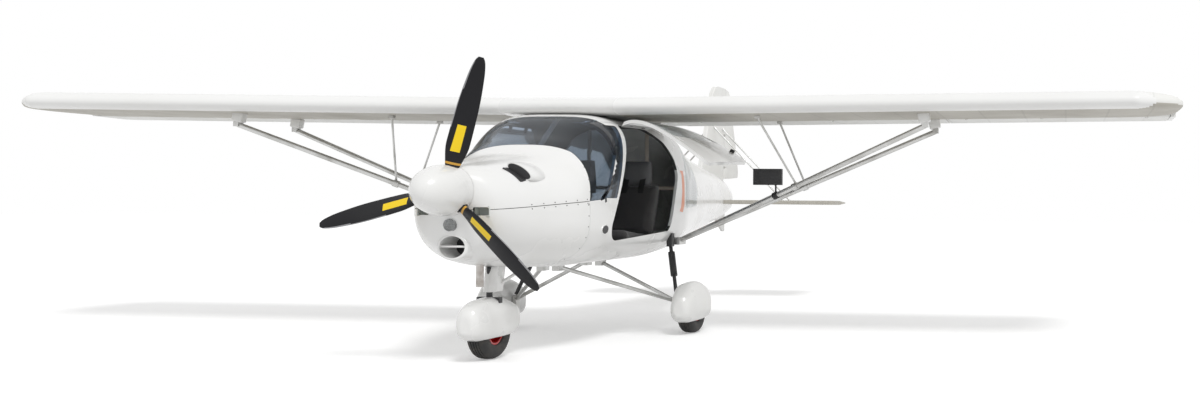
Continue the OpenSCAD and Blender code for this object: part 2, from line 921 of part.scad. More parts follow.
module elevator() {
    color(white)
        difference() {
            union() {
                translate([-half_tail, st(tail_hinge), tailplane_height])
                    rotate([0, 90, 0]) cylinder(r = tail_r, h = tailplane_span);
                intersection() {
                    translate([-half_tail, 0, 0])
                        rotate([90, 0, 90])
                            linear_extrude(tailplane_span)
                                polygon([
                                    [st(tail_hinge), tailplane_height + tail_r],
                                    [st(tail_hinge + elevator_chord), tailplane_height + 6],
                                    [st(tail_hinge + elevator_chord), tailplane_height - 6],
                                    [st(tail_hinge), tailplane_height - tail_r]
                                ]);
                    translate([0, 0, tailplane_height - 100])
                        linear_extrude(200)
                            for (side = [-1, 1])
                                polygon([
                                    [side * elevator_root, st(tail_hinge)], [side * half_tail, st(tail_hinge)],
                                    [side * half_tail, st(tail_hinge + elevator_chord)],
                                    [side * 330, st(tail_hinge + elevator_chord)],
                                    [side * elevator_root, st(tail_hinge + 60)]
                                ]);
                }
            }
            translate([0, st(tail_hinge), tailplane_height])
                hinge_notches(elevator_hinge_x, tail_r, 60);
        }
}

fin_half = 24;
fin_foot = 1240;
rudder_low = 1335;
rudder_hinge_z = [rudder_low + 120, rudder_low + 480, fin_height - 260];

// Turns parts drawn along X into parts that stand along the rudder's hinge.
module on_rudder_hinge() {
    translate([0, st(rudder_hinge), 0])
        rotate([0, -90, 0])
            children();
}

module fin() {
    color(white) {
        difference() {
            side_prism([
                [tail_end - 1330, 1345], [tail_end - 1000, fin_height - 210],
                [tail_end - 950, fin_height - 90], [tail_end - 870, fin_height - 15],
                [tail_end - 790, fin_height],
                [rudder_hinge - fin_half - surface_gap, fin_height],
                [rudder_hinge - fin_half - surface_gap, fin_foot]
            ], -fin_half, fin_half);
            translate([0, seat_gap, 0]) loft(rear_rows, -seat_gap);
        }
        on_rudder_hinge()
            hinge_lugs(rudder_hinge_z, fin_half + surface_gap + 10, 20);
    }
}

module rudder() {
    color(white)
        difference() {
            union() {
                translate([0, st(rudder_hinge), rudder_low])
                    cylinder(r = fin_half, h = fin_height - rudder_low);
                intersection() {
                    side_prism([
                        [rudder_hinge, fin_height], [rudder_hinge + 150, fin_height - 20],
                        [rudder_hinge + 190, fin_height - 60],
                        [tail_end - 60, rudder_low + 260], [tail_end, rudder_low + 90],
                        [tail_end - 20, rudder_low + 20], [rudder_hinge + 200, rudder_low],
                        [rudder_hinge, rudder_low]
                    ], -100, 100);
                    translate([0, 0, 1000])
                        linear_extrude(fin_height)
                            polygon([
                                [-fin_half, st(rudder_hinge)], [fin_half, st(rudder_hinge)],
                                [6, st(tail_end)], [-6, st(tail_end)]
                            ]);
                }
            }
            on_rudder_hinge()
                hinge_notches(rudder_hinge_z, fin_half, 60);
        }
}

brace_x = half_tail * 0.6;
brace_top_z = fin_height - 430;
module tail_braces() {
    color(metal)
        both_sides()
            difference() {
                for (s = [[tail_end - 930, tail_front + 110], [rudder_hinge - 80, tail_hinge - 70]])
                    bar(p3(0, s[0], brace_top_z), p3(brace_x, s[1], tailplane_height), 16);
                translate(p3(-100, tail_front - 500, tailplane_height - 100))
                    cube([100 + fin_half + seat_gap, 3000, fin_height]);
                translate(p3(-100, tail_front - 500, tailplane_height - 100))
                    cube([half_tail + 200, 3000, 100 + tail_r + seat_gap]);
            }
}

// ---------- Struts ----------
strut_foot = p3(cabin_half * 0.965, 2440, 735);
function wing_point(x, chordwise, z) = [
    root_x + (x - root_x) * cos(dihedral) - z * sin(dihedral),
    st(wing_station + chordwise),
    wing_z + (x - root_x) * sin(dihedral) + z * cos(dihedral)
];
function along(a, b, t) = a + (b - a) * t;
strut_tops = [for (c = strut_chords) wing_point(strut_x, c, fitting_low - 4 - strut_diameter / 2)];
jury_share = 0.5;
jury_x = 1480;

module lift_struts() {
    color(metal)
        both_sides() {
            difference() {
                union() {
                    for (top = strut_tops)
                        bar(strut_foot, top, strut_diameter);
                    translate(strut_foot)
                        cube([70, 150, 60], center = true);
                }
                hull_outside();
            }
            wing_frame()
                for (s = strut_chords)
                    translate([strut_x - 22, st(wing_station + s) - 28, fitting_low - seat_gap - 40])
                        cube([44, 56, 40]);
        }
}

jury_d = 16;
sleeve_d = strut_diameter + 16;
module jury_struts() {
    color(metal)
        both_sides()
            for (k = [0, 1]) {
                low = along(strut_foot, strut_tops[k], jury_share);
                bar(low + [0, 0, strut_diameter / 2 + 8],
                    wing_point(jury_x, strut_chords[k], wing_low(strut_chords[k]) - 14), jury_d);
                sleeve(strut_foot, strut_tops[k], jury_share, strut_diameter + 2 * seat_gap,
                       sleeve_d, 44);
                wing_frame()
                    translate([jury_x - 20, st(wing_station + strut_chords[k]) - 15,
                               lowest_near(strut_chords[k]) - seat_gap - 22])
                        cube([40, 30, 22]);
            }
}

mirror_share = 0.42;
mirror_at = along(strut_foot, strut_tops[0], mirror_share);
module strut_mirror() {
    color(black) {
        sleeve(strut_foot, strut_tops[0], mirror_share, strut_diameter + 2 * seat_gap, sleeve_d, 40);
        translate(mirror_at + [0, 0, strut_diameter / 2 + 6]) {
            bar([0, 0, 0], [0, 0, 76], 14);
            translate([-60, -20, 122])
                cube([230, 50, 130], center = true);
        }
    }
}

// ---------- Landing gear ----------
tyre_r = tyre_diameter / 2;
rim_r = rim_diameter / 2;
arch_gap = 14;

module tyre(at) {
    color(black)
        translate(at)
            rotate([0, 90, 0])
                rotate_extrude()
                    polygon([
                        [rim_r, -tyre_width * 0.36], [tyre_r * 0.72, -tyre_width / 2],
                        [tyre_r * 0.90, -tyre_width / 2 + 4], [tyre_r, -tyre_width * 0.24],
                        [tyre_r, tyre_width * 0.24], [tyre_r * 0.90, tyre_width / 2 - 4],
                        [tyre_r * 0.72, tyre_width / 2], [rim_r, tyre_width * 0.36]
                    ]);
}

module rim(at) {
    color([0.8, 0.1, 0.1])
        translate(at)
            rotate([0, 90, 0])
                difference() {
                    union() {
                        rotate_extrude()
                            polygon([
                                [rim_r - 12, -tyre_width * 0.36], [rim_r - seat_gap, -tyre_width * 0.36],
                                [rim_r - seat_gap, tyre_width * 0.36], [rim_r - 12, tyre_width * 0.36]
                            ]);
                        cylinder(r = rim_r - 10, h = 14, center = true);
                        cylinder(d = axle_diameter + 26, h = tyre_width * 0.8, center = true);
                    }
                    cylinder(d = axle_diameter + 2 * pin_gap, h = tyre_width * 2, center = true);
                    for (k = [0 : 4])
                        rotate([0, 0, k * 72])
                            translate([rim_r * 0.62, 0, 0])
                                cylinder(d = rim_r * 0.42, h = 60, center = true);
                }
}

spat_half = tyre_width / 2 + 35;
// Spat sections: station, half width, lowest, widest, highest, squareness
function spat_rows(station, low, high) = [
    [station - 300, spat_half * 0.34, low + 70, low + 115, low + 160, 2, 2],
    [station - 262, spat_half * 0.78, low + 22, low + 115, low + 225, 2.6, 2.4],
    [station - 150, spat_half * 0.98, low, low + 120, high - 12, 4, 3.2],
    [station + 20, spat_half, low, low + 120, high, 4, 3.2],
    [station + 205, spat_half * 0.9, low + 8, low + 120, high - 40, 3.4, 2.8],
    [station + 350, spat_half * 0.14, low + 85, low + 115, low + 145, 2, 2]
];

// The room for the wheel and its way out below.
module wheel_room(at) {
    half = tyre_width / 2 + 10;
    r = tyre_r + arch_gap;
    translate(at) {
        rotate([0, 90, 0])
            rotate_extrude()
                polygon([
                    [0, -half], [tyre_r * 0.9, -half], [r, -tyre_width * 0.24 - 12],
                    [r, tyre_width * 0.24 + 12], [tyre_r * 0.9, half], [0, half]
                ]);
        translate([-half, -r + 8, -at[2] - 100])
            cube([2 * half, 2 * r - 16, at[2] + 100]);
    }
}

module spat(x, station, low, high) {
    difference() {
        translate([x, 0, 0]) loft(spat_rows(station, low, high));
        wheel_room(p3(x, station, tyre_r));
    }
}

main_x = track / 2;
spat_low_main = 95;
spat_low_nose = 135;
spat_high = tyre_diameter + arch_gap + 22;

module main_spats() {
    color(white)
        both_sides()
            difference() {
                spat(main_x, main_station, spat_low_main, spat_high);
                translate(p3(main_x - 300, main_station, tyre_r))
                    rotate([0, 90, 0])
                        cylinder(d = axle_diameter + 2 * seat_gap, h = 300);
            }
}

fork_x = tyre_width / 2 + 11; // middle of a fork plate
module nose_spat() {
    color(white)
        difference() {
            spat(0, nose_station, spat_low_nose, spat_high);
            for (side = [-1, 1])
                translate(p3(side * fork_x - 4 - seat_gap, nose_station - 20 - seat_gap, tyre_r - 30))
                    cube([8 + 2 * seat_gap, 40 + 2 * seat_gap, 400]);
            translate(p3(-fork_x, nose_station - 20 - seat_gap, spat_high - 20))
                cube([2 * fork_x, 40 + 2 * seat_gap, 100]);
        }
}

leg_foot = p3(main_x - spat_half - 26, main_station, tyre_r + 60);
leg_block = [30, 60, 120];
keel_x = 60;
leg_tops = [p3(keel_x, 1370, belly_height - 20), p3(keel_x, 2100, belly_height - 20)];

module main_legs() {
    color(metal)
        both_sides() {
            difference() {
                for (top = leg_tops) {
                    bar(top, leg_foot, leg_diameter);
                    translate(top) cube([56, 90, 60], center = true);
                }
                hull_outside();
            }
            translate(leg_foot + [0, 0, -30])
                cube(leg_block, center = true);
            translate(p3(leg_foot[0], main_station, tyre_r))
                rotate([0, 90, 0])
                    cylinder(d = axle_diameter, h = main_x + tyre_width * 0.44 - leg_foot[0]);
        }
}

shock_top_z = belly_height + 122;
module shock_struts() {
    color(black)
        both_sides() {
            top = p3(cabin_half * 0.93, 2310, shock_top_z);
            slope = top - leg_foot;
            // the lower end clears the leg's block by the seat gap at its lowest corner
            lift = 15 * norm([slope[0], slope[1]]) / norm(slope);
            low = leg_foot + [0, 0, leg_block[2] / 2 - 30 + seat_gap + lift];
            bar(low, top, 30);
            bar(along(low, top, 0.4), along(low, top, 0.84), 56);
            difference() {
                translate(top - [0, 0, 20] + [-22, -30, 0]) cube([44, 60, 110]);
                hull_outside();
            }
        }
}

steer_tube_d = 40;
steer_top_z = 620;
leg_top_station = nose_station + 90;
leg_box = [84, 210];
steer_low_z = spat_high + 26;
module nose_leg() {
    color(white)
        difference() {
            union() {
                hull() {
                    translate(p3(0, leg_top_station - 56, 660)) cylinder(d = 84, h = 2, $fn = 32);
                    translate(p3(0, leg_top_station + 80, 660)) cylinder(d = 40, h = 2, $fn = 32);
                    translate(p3(0, nose_station + 6, steer_low_z + 6)) cylinder(d = 84, h = 2, $fn = 32);
                    translate(p3(0, nose_station + 130, steer_low_z + 6)) cylinder(d = 40, h = 2, $fn = 32);
                }
                // post up to the engine
                translate(p3(0, leg_top_station + 10, 650))
                    cylinder(d = 56, h = 250 - seat_gap);
                // drag tubes back to the belly
                both_sides()
                    difference() {
                        bar(p3(12, nose_station + 90, 490), p3(130, firewall_station + 90, 640), 22);
                        hull_outside();
                    }
            }
            translate(p3(0, nose_station, 0)) cylinder(d = steer_tube_d + 2 * pin_gap, h = steer_top_z);
        }
}

module nose_fork() {
    color(metal) {
        translate(p3(0, nose_station, spat_high - 6))
            cylinder(d = steer_tube_d, h = steer_top_z - spat_high);
        for (side = [-1, 1])
            translate(p3(side * fork_x - 4, nose_station - 20, tyre_r - 20))
                cube([8, 40, spat_high - tyre_r + 18]);
        translate(p3(-fork_x, nose_station - 20, spat_high - 12))
            cube([2 * fork_x, 40, 10]);
        cross_cylinder(p3(0, nose_station, tyre_r), axle_diameter, 2 * fork_x);
    }
}

module nose_tyre() {
    tyre(p3(0, nose_station, tyre_r));
}

module nose_rim() {
    rim(p3(0, nose_station, tyre_r));
}

module main_tyre_port() {
    tyre(p3(main_x, main_station, tyre_r));
}

module main_rim_port() {
    rim(p3(main_x, main_station, tyre_r));
}

module main_tyre_starboard() {
    tyre(p3(-main_x, main_station, tyre_r));
}

module main_rim_starboard() {
    rim(p3(-main_x, main_station, tyre_r));
}

spinner();
propeller_blades();
propeller_hub();
cowl_upper();
cowl_lower();
engine_block();
exhaust_pipe();
landing_light();
firewall();
cabin_shell();
windshield();
quarter_windows();
roof_fairing();
instrument_panel();
cabin_tubes();
seat_port();
seat_starboard();
door_port();
door_window_port();
door_starboard();
door_window_starboard();
rear_fuselage();
rear_windows();
wing_port();
wing_starboard();
flap_port();
flap_starboard();
aileron_port();
aileron_starboard();
lift_struts();
jury_struts();
strut_mirror();
stabilizer();
elevator();
fin();
rudder();
tail_braces();
nose_leg();
nose_fork();
nose_spat();
nose_tyre();
nose_rim();
main_legs();
shock_struts();
main_spats();
main_tyre_port();
main_rim_port();
main_tyre_starboard();
main_rim_starboard();
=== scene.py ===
"""Looks of a two-seat high-wing ultralight aircraft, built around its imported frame."""
import logging
import math
from dataclasses import dataclass, field
from enum import Enum

import bmesh
import bpy
from mathutils import Matrix, Vector


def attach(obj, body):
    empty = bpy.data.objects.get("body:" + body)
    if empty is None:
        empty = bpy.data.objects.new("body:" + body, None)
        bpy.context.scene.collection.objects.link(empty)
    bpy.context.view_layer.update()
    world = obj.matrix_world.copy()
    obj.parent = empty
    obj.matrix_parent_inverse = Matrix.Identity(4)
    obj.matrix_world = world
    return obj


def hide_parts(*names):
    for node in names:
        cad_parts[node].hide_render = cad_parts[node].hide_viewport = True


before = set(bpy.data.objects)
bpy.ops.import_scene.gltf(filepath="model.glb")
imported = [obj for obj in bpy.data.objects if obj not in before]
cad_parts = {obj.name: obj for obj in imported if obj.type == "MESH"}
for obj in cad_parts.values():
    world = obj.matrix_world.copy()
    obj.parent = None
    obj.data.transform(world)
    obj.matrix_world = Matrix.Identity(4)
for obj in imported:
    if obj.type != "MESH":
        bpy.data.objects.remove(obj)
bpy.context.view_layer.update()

LOG = logging.getLogger("ultralight")
MM = 0.001
ORIGIN_STATION = 2820.0
AIRFRAME = "airframe"


class Side(Enum):
    """The two sides of the aircraft, by the sign of X."""

    PORT = 1
    STARBOARD = -1

    @property
    def half(self) -> tuple[float, float]:
        """Range of X, in millimetres, that holds this side of the cabin."""
        return (0.0, 900.0) if self is Side.PORT else (-900.0, 0.0)

    @property
    def word(self) -> str:
        """Name of the side in the pieces' names."""
        return self.name.lower()


class Cut(Enum):
    """What a boolean does with its tool."""

    REMOVE = "DIFFERENCE"
    KEEP = "INTERSECT"
    JOIN = "UNION"


def at(x: float, station: float, z: float) -> Vector:
    """Place of a point given in millimetres and a station aft of the propeller.

    Args:
        x: Distance to port.
        station: Distance aft of the propeller's plane.
        z: Height above the ground.

    Returns:
        The point in metres, in the frame's axes.
    """
    return Vector((x * MM, (station - ORIGIN_STATION) * MM, z * MM))


# ---------- Shader helpers ----------
class Tree:
    """A node tree that is filled by short calls."""

    def __init__(self, tree: bpy.types.NodeTree) -> None:
        """Takes over an empty or fresh tree."""
        self.tree = tree

    def add(self, kind: str, **settings: object) -> bpy.types.Node:
        """Adds a node.

        Args:
            kind: The node's type without its ShaderNode prefix.
            settings: Properties of the node.

        Returns:
            The new node.
        """
        prefix = "" if kind.startswith("NodeGroup") else "ShaderNode"
        node = self.tree.nodes.new(prefix + kind)
        for key, value in settings.items():
            setattr(node, key, value)
        return node

    def link(self, source: bpy.types.NodeSocket, target: bpy.types.NodeSocket) -> None:
        """Joins two sockets."""
        self.tree.links.new(source, target)

    def math(self, operation: str, a: object, b: object = 0.0, c: object = 0.0) -> bpy.types.NodeSocket:
        """Adds a Math node.

        Args:
            operation: The node's operation.
            a: First value or socket.
            b: Second value or socket.
            c: Third value or socket.

        Returns:
            The node's value socket.
        """
        node = self.add("Math", operation=operation)
        for index, value in enumerate((a, b, c)):
            if isinstance(value, bpy.types.NodeSocket):
                self.link(value, node.inputs[index])
            else:
                node.inputs[index].default_value = value
        return node.outputs[0]

    def mix(self, factor: object, a: object, b: object) -> bpy.types.NodeSocket:
        """Adds a colour Mix node.

        Args:
            factor: Share of the second colour, a value or a socket.
            a: First colour or socket.
            b: Second colour or socket.

        Returns:
            The mixed colour's socket.
        """
        node = self.add("Mix", data_type="RGBA")
        for index, value in ((0, factor), (6, a), (7, b)):
            if isinstance(value, bpy.types.NodeSocket):
                self.link(value, node.inputs[index])
            elif index == 0:
                node.inputs[index].default_value = value
            else:
                node.inputs[index].default_value = (*value, 1.0)
        return node.outputs[2]


def wear_group() -> bpy.types.NodeTree:
    """Builds the shared group that gives soft dirt, fine grain and a bump height.

    Returns:
        A group with inputs Scale and Grain and outputs Dirt, Grain and Height.
    """
    group = bpy.data.node_groups.new("surface_wear", "ShaderNodeTree")
    for name, value in (("Scale", 3.0), ("Grain", 180.0)):
        socket = group.interface.new_socket(name, in_out="INPUT", socket_type="NodeSocketFloat")
        socket.default_value = value
    for name in ("Dirt", "Grain", "Height"):
        group.interface.new_socket(name, in_out="OUTPUT", socket_type="NodeSocketFloat")
    t = Tree(group)
    enter, leave = t.add("NodeGroupInput"), t.add("NodeGroupOutput")
    place = t.add("TexCoord")
    coarse = t.add("TexNoise")
    coarse.inputs["Detail"].default_value = 5.0
    t.link(place.outputs["Object"], coarse.inputs["Vector"])
    t.link(enter.outputs["Scale"], coarse.inputs["Scale"])
    fine = t.add("TexNoise")
    fine.inputs["Detail"].default_value = 2.0
    t.link(place.outputs["Object"], fine.inputs["Vector"])
    t.link(enter.outputs["Grain"], fine.inputs["Scale"])
    dirt = t.add("MapRange")
    dirt.inputs["From Min"].default_value = 0.42
    dirt.inputs["From Max"].default_value = 0.75
    t.link(coarse.outputs[0], dirt.inputs["Value"])
    t.link(dirt.outputs["Result"], leave.inputs["Dirt"])
    t.link(fine.outputs[0], leave.inputs["Grain"])
    height = t.math("ADD", t.math("MULTIPLY", coarse.outputs[0], 0.6), t.math("MULTIPLY", fine.outputs[0], 0.4))
    t.link(height, leave.inputs["Height"])
    return group


WEAR = wear_group()


@dataclass(frozen=True)
class Finish:
    """One surface finish: its colours, its gloss and the scale of its wear."""

    name: str
    colour: tuple[float, float, float]
    dirt_colour: tuple[float, float, float]
    dirt: float = 0.1
    rough: float = 0.3
    rough_spread: float = 0.1
    metallic: float = 0.0
    coat: float = 0.0
    bump: float = 0.05
    scale: float = 3.0
    grain: float = 180.0
    transmission: float = 0.0
    ior: float = 1.5
    sheen: float = 0.0

    def base(self, t: Tree, wear: bpy.types.Node) -> bpy.types.NodeSocket:
        """Colour of the surface before it reaches the shader.

        Args:
            t: The material's tree.
            wear: The wear group's node.

        Returns:
            The socket with the colour.
        """
        return t.mix(t.math("MULTIPLY", wear.outputs["Dirt"], self.dirt), self.colour, self.dirt_colour)

    def height(self, t: Tree, wear: bpy.types.Node) -> bpy.types.NodeSocket:
        """Bump height of the surface, from the wear group."""
        return wear.outputs["Height"]

    def make(self) -> bpy.types.Material:
        """Builds the material, or finds it if it is there.

        Returns:
            The material.
        """
        found = bpy.data.materials.get(self.name)
        if found:
            return found
        material = bpy.data.materials.new(self.name)
        material.use_nodes = True
        material.node_tree.nodes.clear()
        t = Tree(material.node_tree)
        out = t.add("OutputMaterial")
        shader = t.add("BsdfPrincipled")
        t.link(shader.outputs[0], out.inputs[0])
        wear = t.add("Group")
        wear.node_tree = WEAR
        wear.inputs["Scale"].default_value = self.scale
        wear.inputs["Grain"].default_value = self.grain
        t.link(self.base(t, wear), shader.inputs["Base Color"])
        spread = t.math("MULTIPLY", wear.outputs["Dirt"], self.rough_spread)
        t.link(t.math("ADD", spread, self.rough), shader.inputs["Roughness"])
        shader.inputs["Metallic"].default_value = self.metallic
        shader.inputs["Coat Weight"].default_value = self.coat
        shader.inputs["Coat Roughness"].default_value = 0.05
        shader.inputs["IOR"].default_value = self.ior
        shader.inputs["Transmission Weight"].default_value = self.transmission
        shader.inputs["Sheen Weight"].default_value = self.sheen
        if self.bump:
            bump = t.add("Bump")
            bump.inputs["Strength"].default_value = self.bump
            bump.inputs["Distance"].default_value = 0.002
            t.link(self.height(t, wear), bump.inputs["Height"])
            t.link(bump.outputs[0], shader.inputs["Normal"])
        return material


@dataclass(frozen=True)
class ClothFinish(Finish):
    """Woven cloth, with a fine weave in its height and its colour."""

    threads: float = 900.0

    def weave(self, t: Tree) -> bpy.types.NodeSocket:
        """Crossing threads as a value from 0 to 1.

        Args:
            t: The material's tree.

        Returns:
            The socket with the value.
        """
        place = t.add("TexCoord")
        bands = []
        for direction in ("X", "Z"):
            wave = t.add("TexWave", bands_direction=direction)
            wave.inputs["Scale"].default_value = self.threads / 20.0
            wave.inputs["Distortion"].default_value = 0.6
            t.link(place.outputs["Object"], wave.inputs["Vector"])
            bands.append(wave.outputs[1])
        return t.math("MULTIPLY", bands[0], bands[1])

    def base(self, t: Tree, wear: bpy.types.Node) -> bpy.types.NodeSocket:
        """Thread colour with darker gaps."""
        flat = super().base(t, wear)
        dark = tuple(c * 0.55 for c in self.colour)
        return t.mix(t.math("MULTIPLY", self.weave(t), 0.6), flat, dark)

    def height(self, t: Tree, wear: bpy.types.Node) -> bpy.types.NodeSocket:
        """Height of the threads."""
        return self.weave(t)


@dataclass(frozen=True)
class DopedFabric(Finish):
    """Doped wing fabric, with faint ribs that show through and slack creases."""

    rib_pitch: float = 0.32
    rib_tone: float = 0.25

    def ribs(self, t: Tree) -> bpy.types.NodeSocket:
        """Narrow lines across the span, one for each rib.

        Args:
            t: The material's tree.

        Returns:
            The socket with 1 on a line and 0 between lines.
        """
        place = t.add("TexCoord")
        split = t.add("SeparateXYZ")
        t.link(place.outputs["Object"], split.inputs[0])
        share = t.math("FRACT", t.math("DIVIDE", t.math("ABSOLUTE", split.outputs[0]), self.rib_pitch))
        near = t.math("ABSOLUTE", t.math("SUBTRACT", share, 0.5))
        return t.math("GREATER_THAN", near, 0.475)

    def base(self, t: Tree, wear: bpy.types.Node) -> bpy.types.NodeSocket:
        """Fabric colour, darker along the ribs."""
        flat = super().base(t, wear)
        line = tuple(c * 0.72 for c in self.colour)
        return t.mix(t.math("MULTIPLY", self.ribs(t), self.rib_tone), flat, line)


@dataclass(frozen=True)
class BladeFinish(Finish):
    """Black blade with a plain yellow patch and a gilt root ring."""

    hub_z: float = 1.12
    first_angle: float = 15.0
    blades: int = 3

    def masks(self, t: Tree) -> tuple[bpy.types.NodeSocket, bpy.types.NodeSocket]:
        """Where the yellow patches and the gilt root rings lie.

        Args:
            t: The material's tree.

        Returns:
            Sockets with the patches' mask and the rings' mask.
        """
        place = t.add("TexCoord")
        split = t.add("SeparateXYZ")
        t.link(place.outputs["Object"], split.inputs[0])
        dz = t.math("SUBTRACT", split.outputs[2], self.hub_z)
        patch: object = 0.0
        ring: object = 0.0
        for k in range(self.blades):
            turn = math.radians(self.first_angle + k * 360.0 / self.blades)
            ux, uz = math.sin(turn), math.cos(turn)
            along = t.math("ADD", t.math("MULTIPLY", split.outputs[0], ux), t.math("MULTIPLY", dz, uz))
            across = t.math("SUBTRACT", t.math("MULTIPLY", split.outputs[0], uz), t.math("MULTIPLY", dz, ux))
            inside = t.math("COMPARE", along, 0.335, 0.085)
            narrow = t.math("COMPARE", across, 0.0, 0.022)
            patch = t.math("MAXIMUM", patch, t.math("MULTIPLY", inside, narrow))
            ring = t.math("MAXIMUM", ring, t.math("MULTIPLY", t.math("COMPARE", along, 0.176, 0.007),
                                                  t.math("COMPARE", across, 0.0, 0.05)))
        return patch, ring

    def base(self, t: Tree, wear: bpy.types.Node) -> bpy.types.NodeSocket:
        """Black, with the yellow patches and gilt rings."""
        patch, ring = self.masks(t)
        dark = super().base(t, wear)
        return t.mix(ring, t.mix(patch, dark, (0.85, 0.60, 0.02)), (0.62, 0.34, 0.06))


WHITE = Finish("white_gloss_paint", (0.80, 0.80, 0.79), (0.66, 0.65, 0.61), 0.28, 0.22, 0.12, coat=0.35,
               bump=0.02, scale=1.6)
WHITE_EDGE = Finish("white_leading_edge", (0.82, 0.82, 0.81), (0.70, 0.69, 0.66), 0.2, 0.35, 0.1, bump=0.03,
                    scale=1.3)
FABRIC_TOP = DopedFabric("white_doped_fabric", (0.80, 0.80, 0.78), (0.66, 0.65, 0.60), 0.25, 0.5, 0.1,
                         bump=0.25, scale=2.2, grain=500.0)
# Painted shade: a darker grey copy of the white doped fabric, for the wing's lower faces and the tail plane, which
# lie in shade.
FABRIC_PAINTED_SHADE = DopedFabric("doped_fabric_painted_shade", (0.47, 0.45, 0.40), (0.33, 0.31, 0.27), 0.45, 0.55, 0.1,
                         bump=0.3, scale=2.6, grain=500.0, rib_tone=0.45)
BLADE = BladeFinish("black_blade", (0.008, 0.008, 0.010), (0.02, 0.02, 0.02), 0.5, 0.3, 0.2, bump=0.03, ior=1.3)
STRIP = Finish("blade_edge_strip", (0.28, 0.28, 0.29), (0.12, 0.12, 0.12), 0.6, 0.3, 0.2, metallic=0.9)
ALLOY = Finish("silver_strut", (0.60, 0.60, 0.59), (0.22, 0.21, 0.18), 0.55, 0.28, 0.25, metallic=0.85,
               bump=0.04, scale=5.0)
STEEL = Finish("worn_steel", (0.52, 0.50, 0.48), (0.20, 0.15, 0.11), 0.7, 0.32, 0.3, metallic=0.95, bump=0.08,
               scale=14.0)
# Black satin paint; also used as painted shade in the scoop's mouth and throat.
BLACK = Finish("black_satin_paint_and_painted_shade", (0.018, 0.018, 0.02), (0.05, 0.05, 0.05), 0.5, 0.35, 0.2, bump=0.05, scale=9.0)
PLASTIC = Finish("moulded_black_plastic", (0.02, 0.02, 0.022), (0.05, 0.05, 0.05), 0.4, 0.55, 0.2, bump=0.35,
                 scale=12.0, grain=900.0)
RUBBER = Finish("tyre_rubber", (0.022, 0.022, 0.022), (0.09, 0.08, 0.07), 0.6, 0.7, 0.15, bump=0.2, scale=16.0,
                grain=400.0)
RED = Finish("red_rim_paint", (0.55, 0.012, 0.014), (0.2, 0.02, 0.02), 0.4, 0.3, 0.2, coat=0.3, scale=12.0)
GLASS = Finish("tinted_pane", (0.26, 0.32, 0.40), (0.20, 0.25, 0.31), 0.3, 0.03, 0.03, bump=0.0,
               transmission=1.0, ior=1.35)
PALE_GLASS = Finish("pale_pane", (0.86, 0.90, 0.91), (0.74, 0.78, 0.78), 0.3, 0.1, 0.1, bump=0.0,
                    transmission=0.75, ior=1.3)
LENS = Finish("lamp_lens", (0.93, 0.96, 0.96), (0.8, 0.85, 0.85), 0.2, 0.04, 0.05, bump=0.0, transmission=0.85)
CLOTH = ClothFinish("dark_seat_cloth", (0.035, 0.033, 0.034), (0.08, 0.075, 0.07), 0.4, 0.8, 0.1, bump=0.5,
                    scale=9.0, sheen=0.3)
CLOTH_PALE = ClothFinish("grey_headrest_cloth", (0.13, 0.13, 0.135), (0.2, 0.2, 0.2), 0.3, 0.8, 0.1, bump=0.5,
                         scale=9.0, sheen=0.3)
WEBBING = ClothFinish("harness_webbing", (0.012, 0.012, 0.012), (0.04, 0.04, 0.04), 0.3, 0.7, 0.1, bump=0.6,
                      threads=1800.0)
ENGINE = Finish("cast_engine", (0.22, 0.22, 0.23), (0.08, 0.08, 0.08), 0.6, 0.5, 0.2, metallic=0.6, bump=0.3,
                scale=20.0)
ORANGE = Finish("orange_stripe", (0.78, 0.17, 0.02), (0.6, 0.15, 0.04), 0.2, 0.3, 0.1, coat=0.3)
LINING = Finish("dark_cabin_lining", (0.03, 0.03, 0.03), (0.06, 0.06, 0.055), 0.4, 0.8, 0.1, bump=0.0, scale=10.0)
BAND = Finish("gloss_black_band", (0.012, 0.015, 0.02), (0.03, 0.03, 0.03), 0.3, 0.08, 0.05, coat=0.5, bump=0.0)
DUCT = Finish("pale_duct", (0.66, 0.69, 0.66), (0.5, 0.52, 0.5), 0.4, 0.5, 0.1, scale=10.0)
TUBE = Finish("cream_tube", (0.62, 0.56, 0.48), (0.5, 0.44, 0.37), 0.3, 0.4, 0.1, scale=12.0)


# ---------- Mesh helpers ----------
def finish_object(name: str, bm: bmesh.types.BMesh, finishes: list[Finish], body: str = AIRFRAME,
                  replaces: tuple[str, ...] = (), smooth: float = 32.0) -> bpy.types.Object:
    """Turns a bmesh into a shown piece that rides on a body.

    Args:
        name: Name of the piece.
        bm: The mesh, which is freed.
        finishes: Finishes for its material slots, in order.
        body: The body that it rides on.
        replaces: CAD nodes that it stands for.
        smooth: Edges sharper than this angle in degrees stay sharp.

    Returns:
        The new object.
    """
    mesh = bpy.data.meshes.new(name)
    bm.to_mesh(mesh)
    bm.free()
    mesh.shade_smooth()
    mesh.set_sharp_from_angle(angle=math.radians(smooth))
    obj = bpy.data.objects.new(name, mesh)
    bpy.context.scene.collection.objects.link(obj)
    for finish in finishes:
        mesh.materials.append(finish.make())
    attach(obj, body)
    if replaces:
        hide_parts(*replaces)
    LOG.info("piece %s: %d faces on %s", name, len(mesh.polygons), body)
    return obj


def bare_object(bm: bmesh.types.BMesh, name: str = "tool") -> bpy.types.Object:
    """Puts a bmesh in a loose object for use as a boolean tool.

    Args:
        bm: Mesh to use; it is freed.
        name: Name of the object.

    Returns:
        The object.
    """
    mesh = bpy.data.meshes.new(name)
    bm.to_mesh(mesh)
    bm.free()
    obj = bpy.data.objects.new(name, mesh)
    bpy.context.scene.collection.objects.link(obj)
    return obj


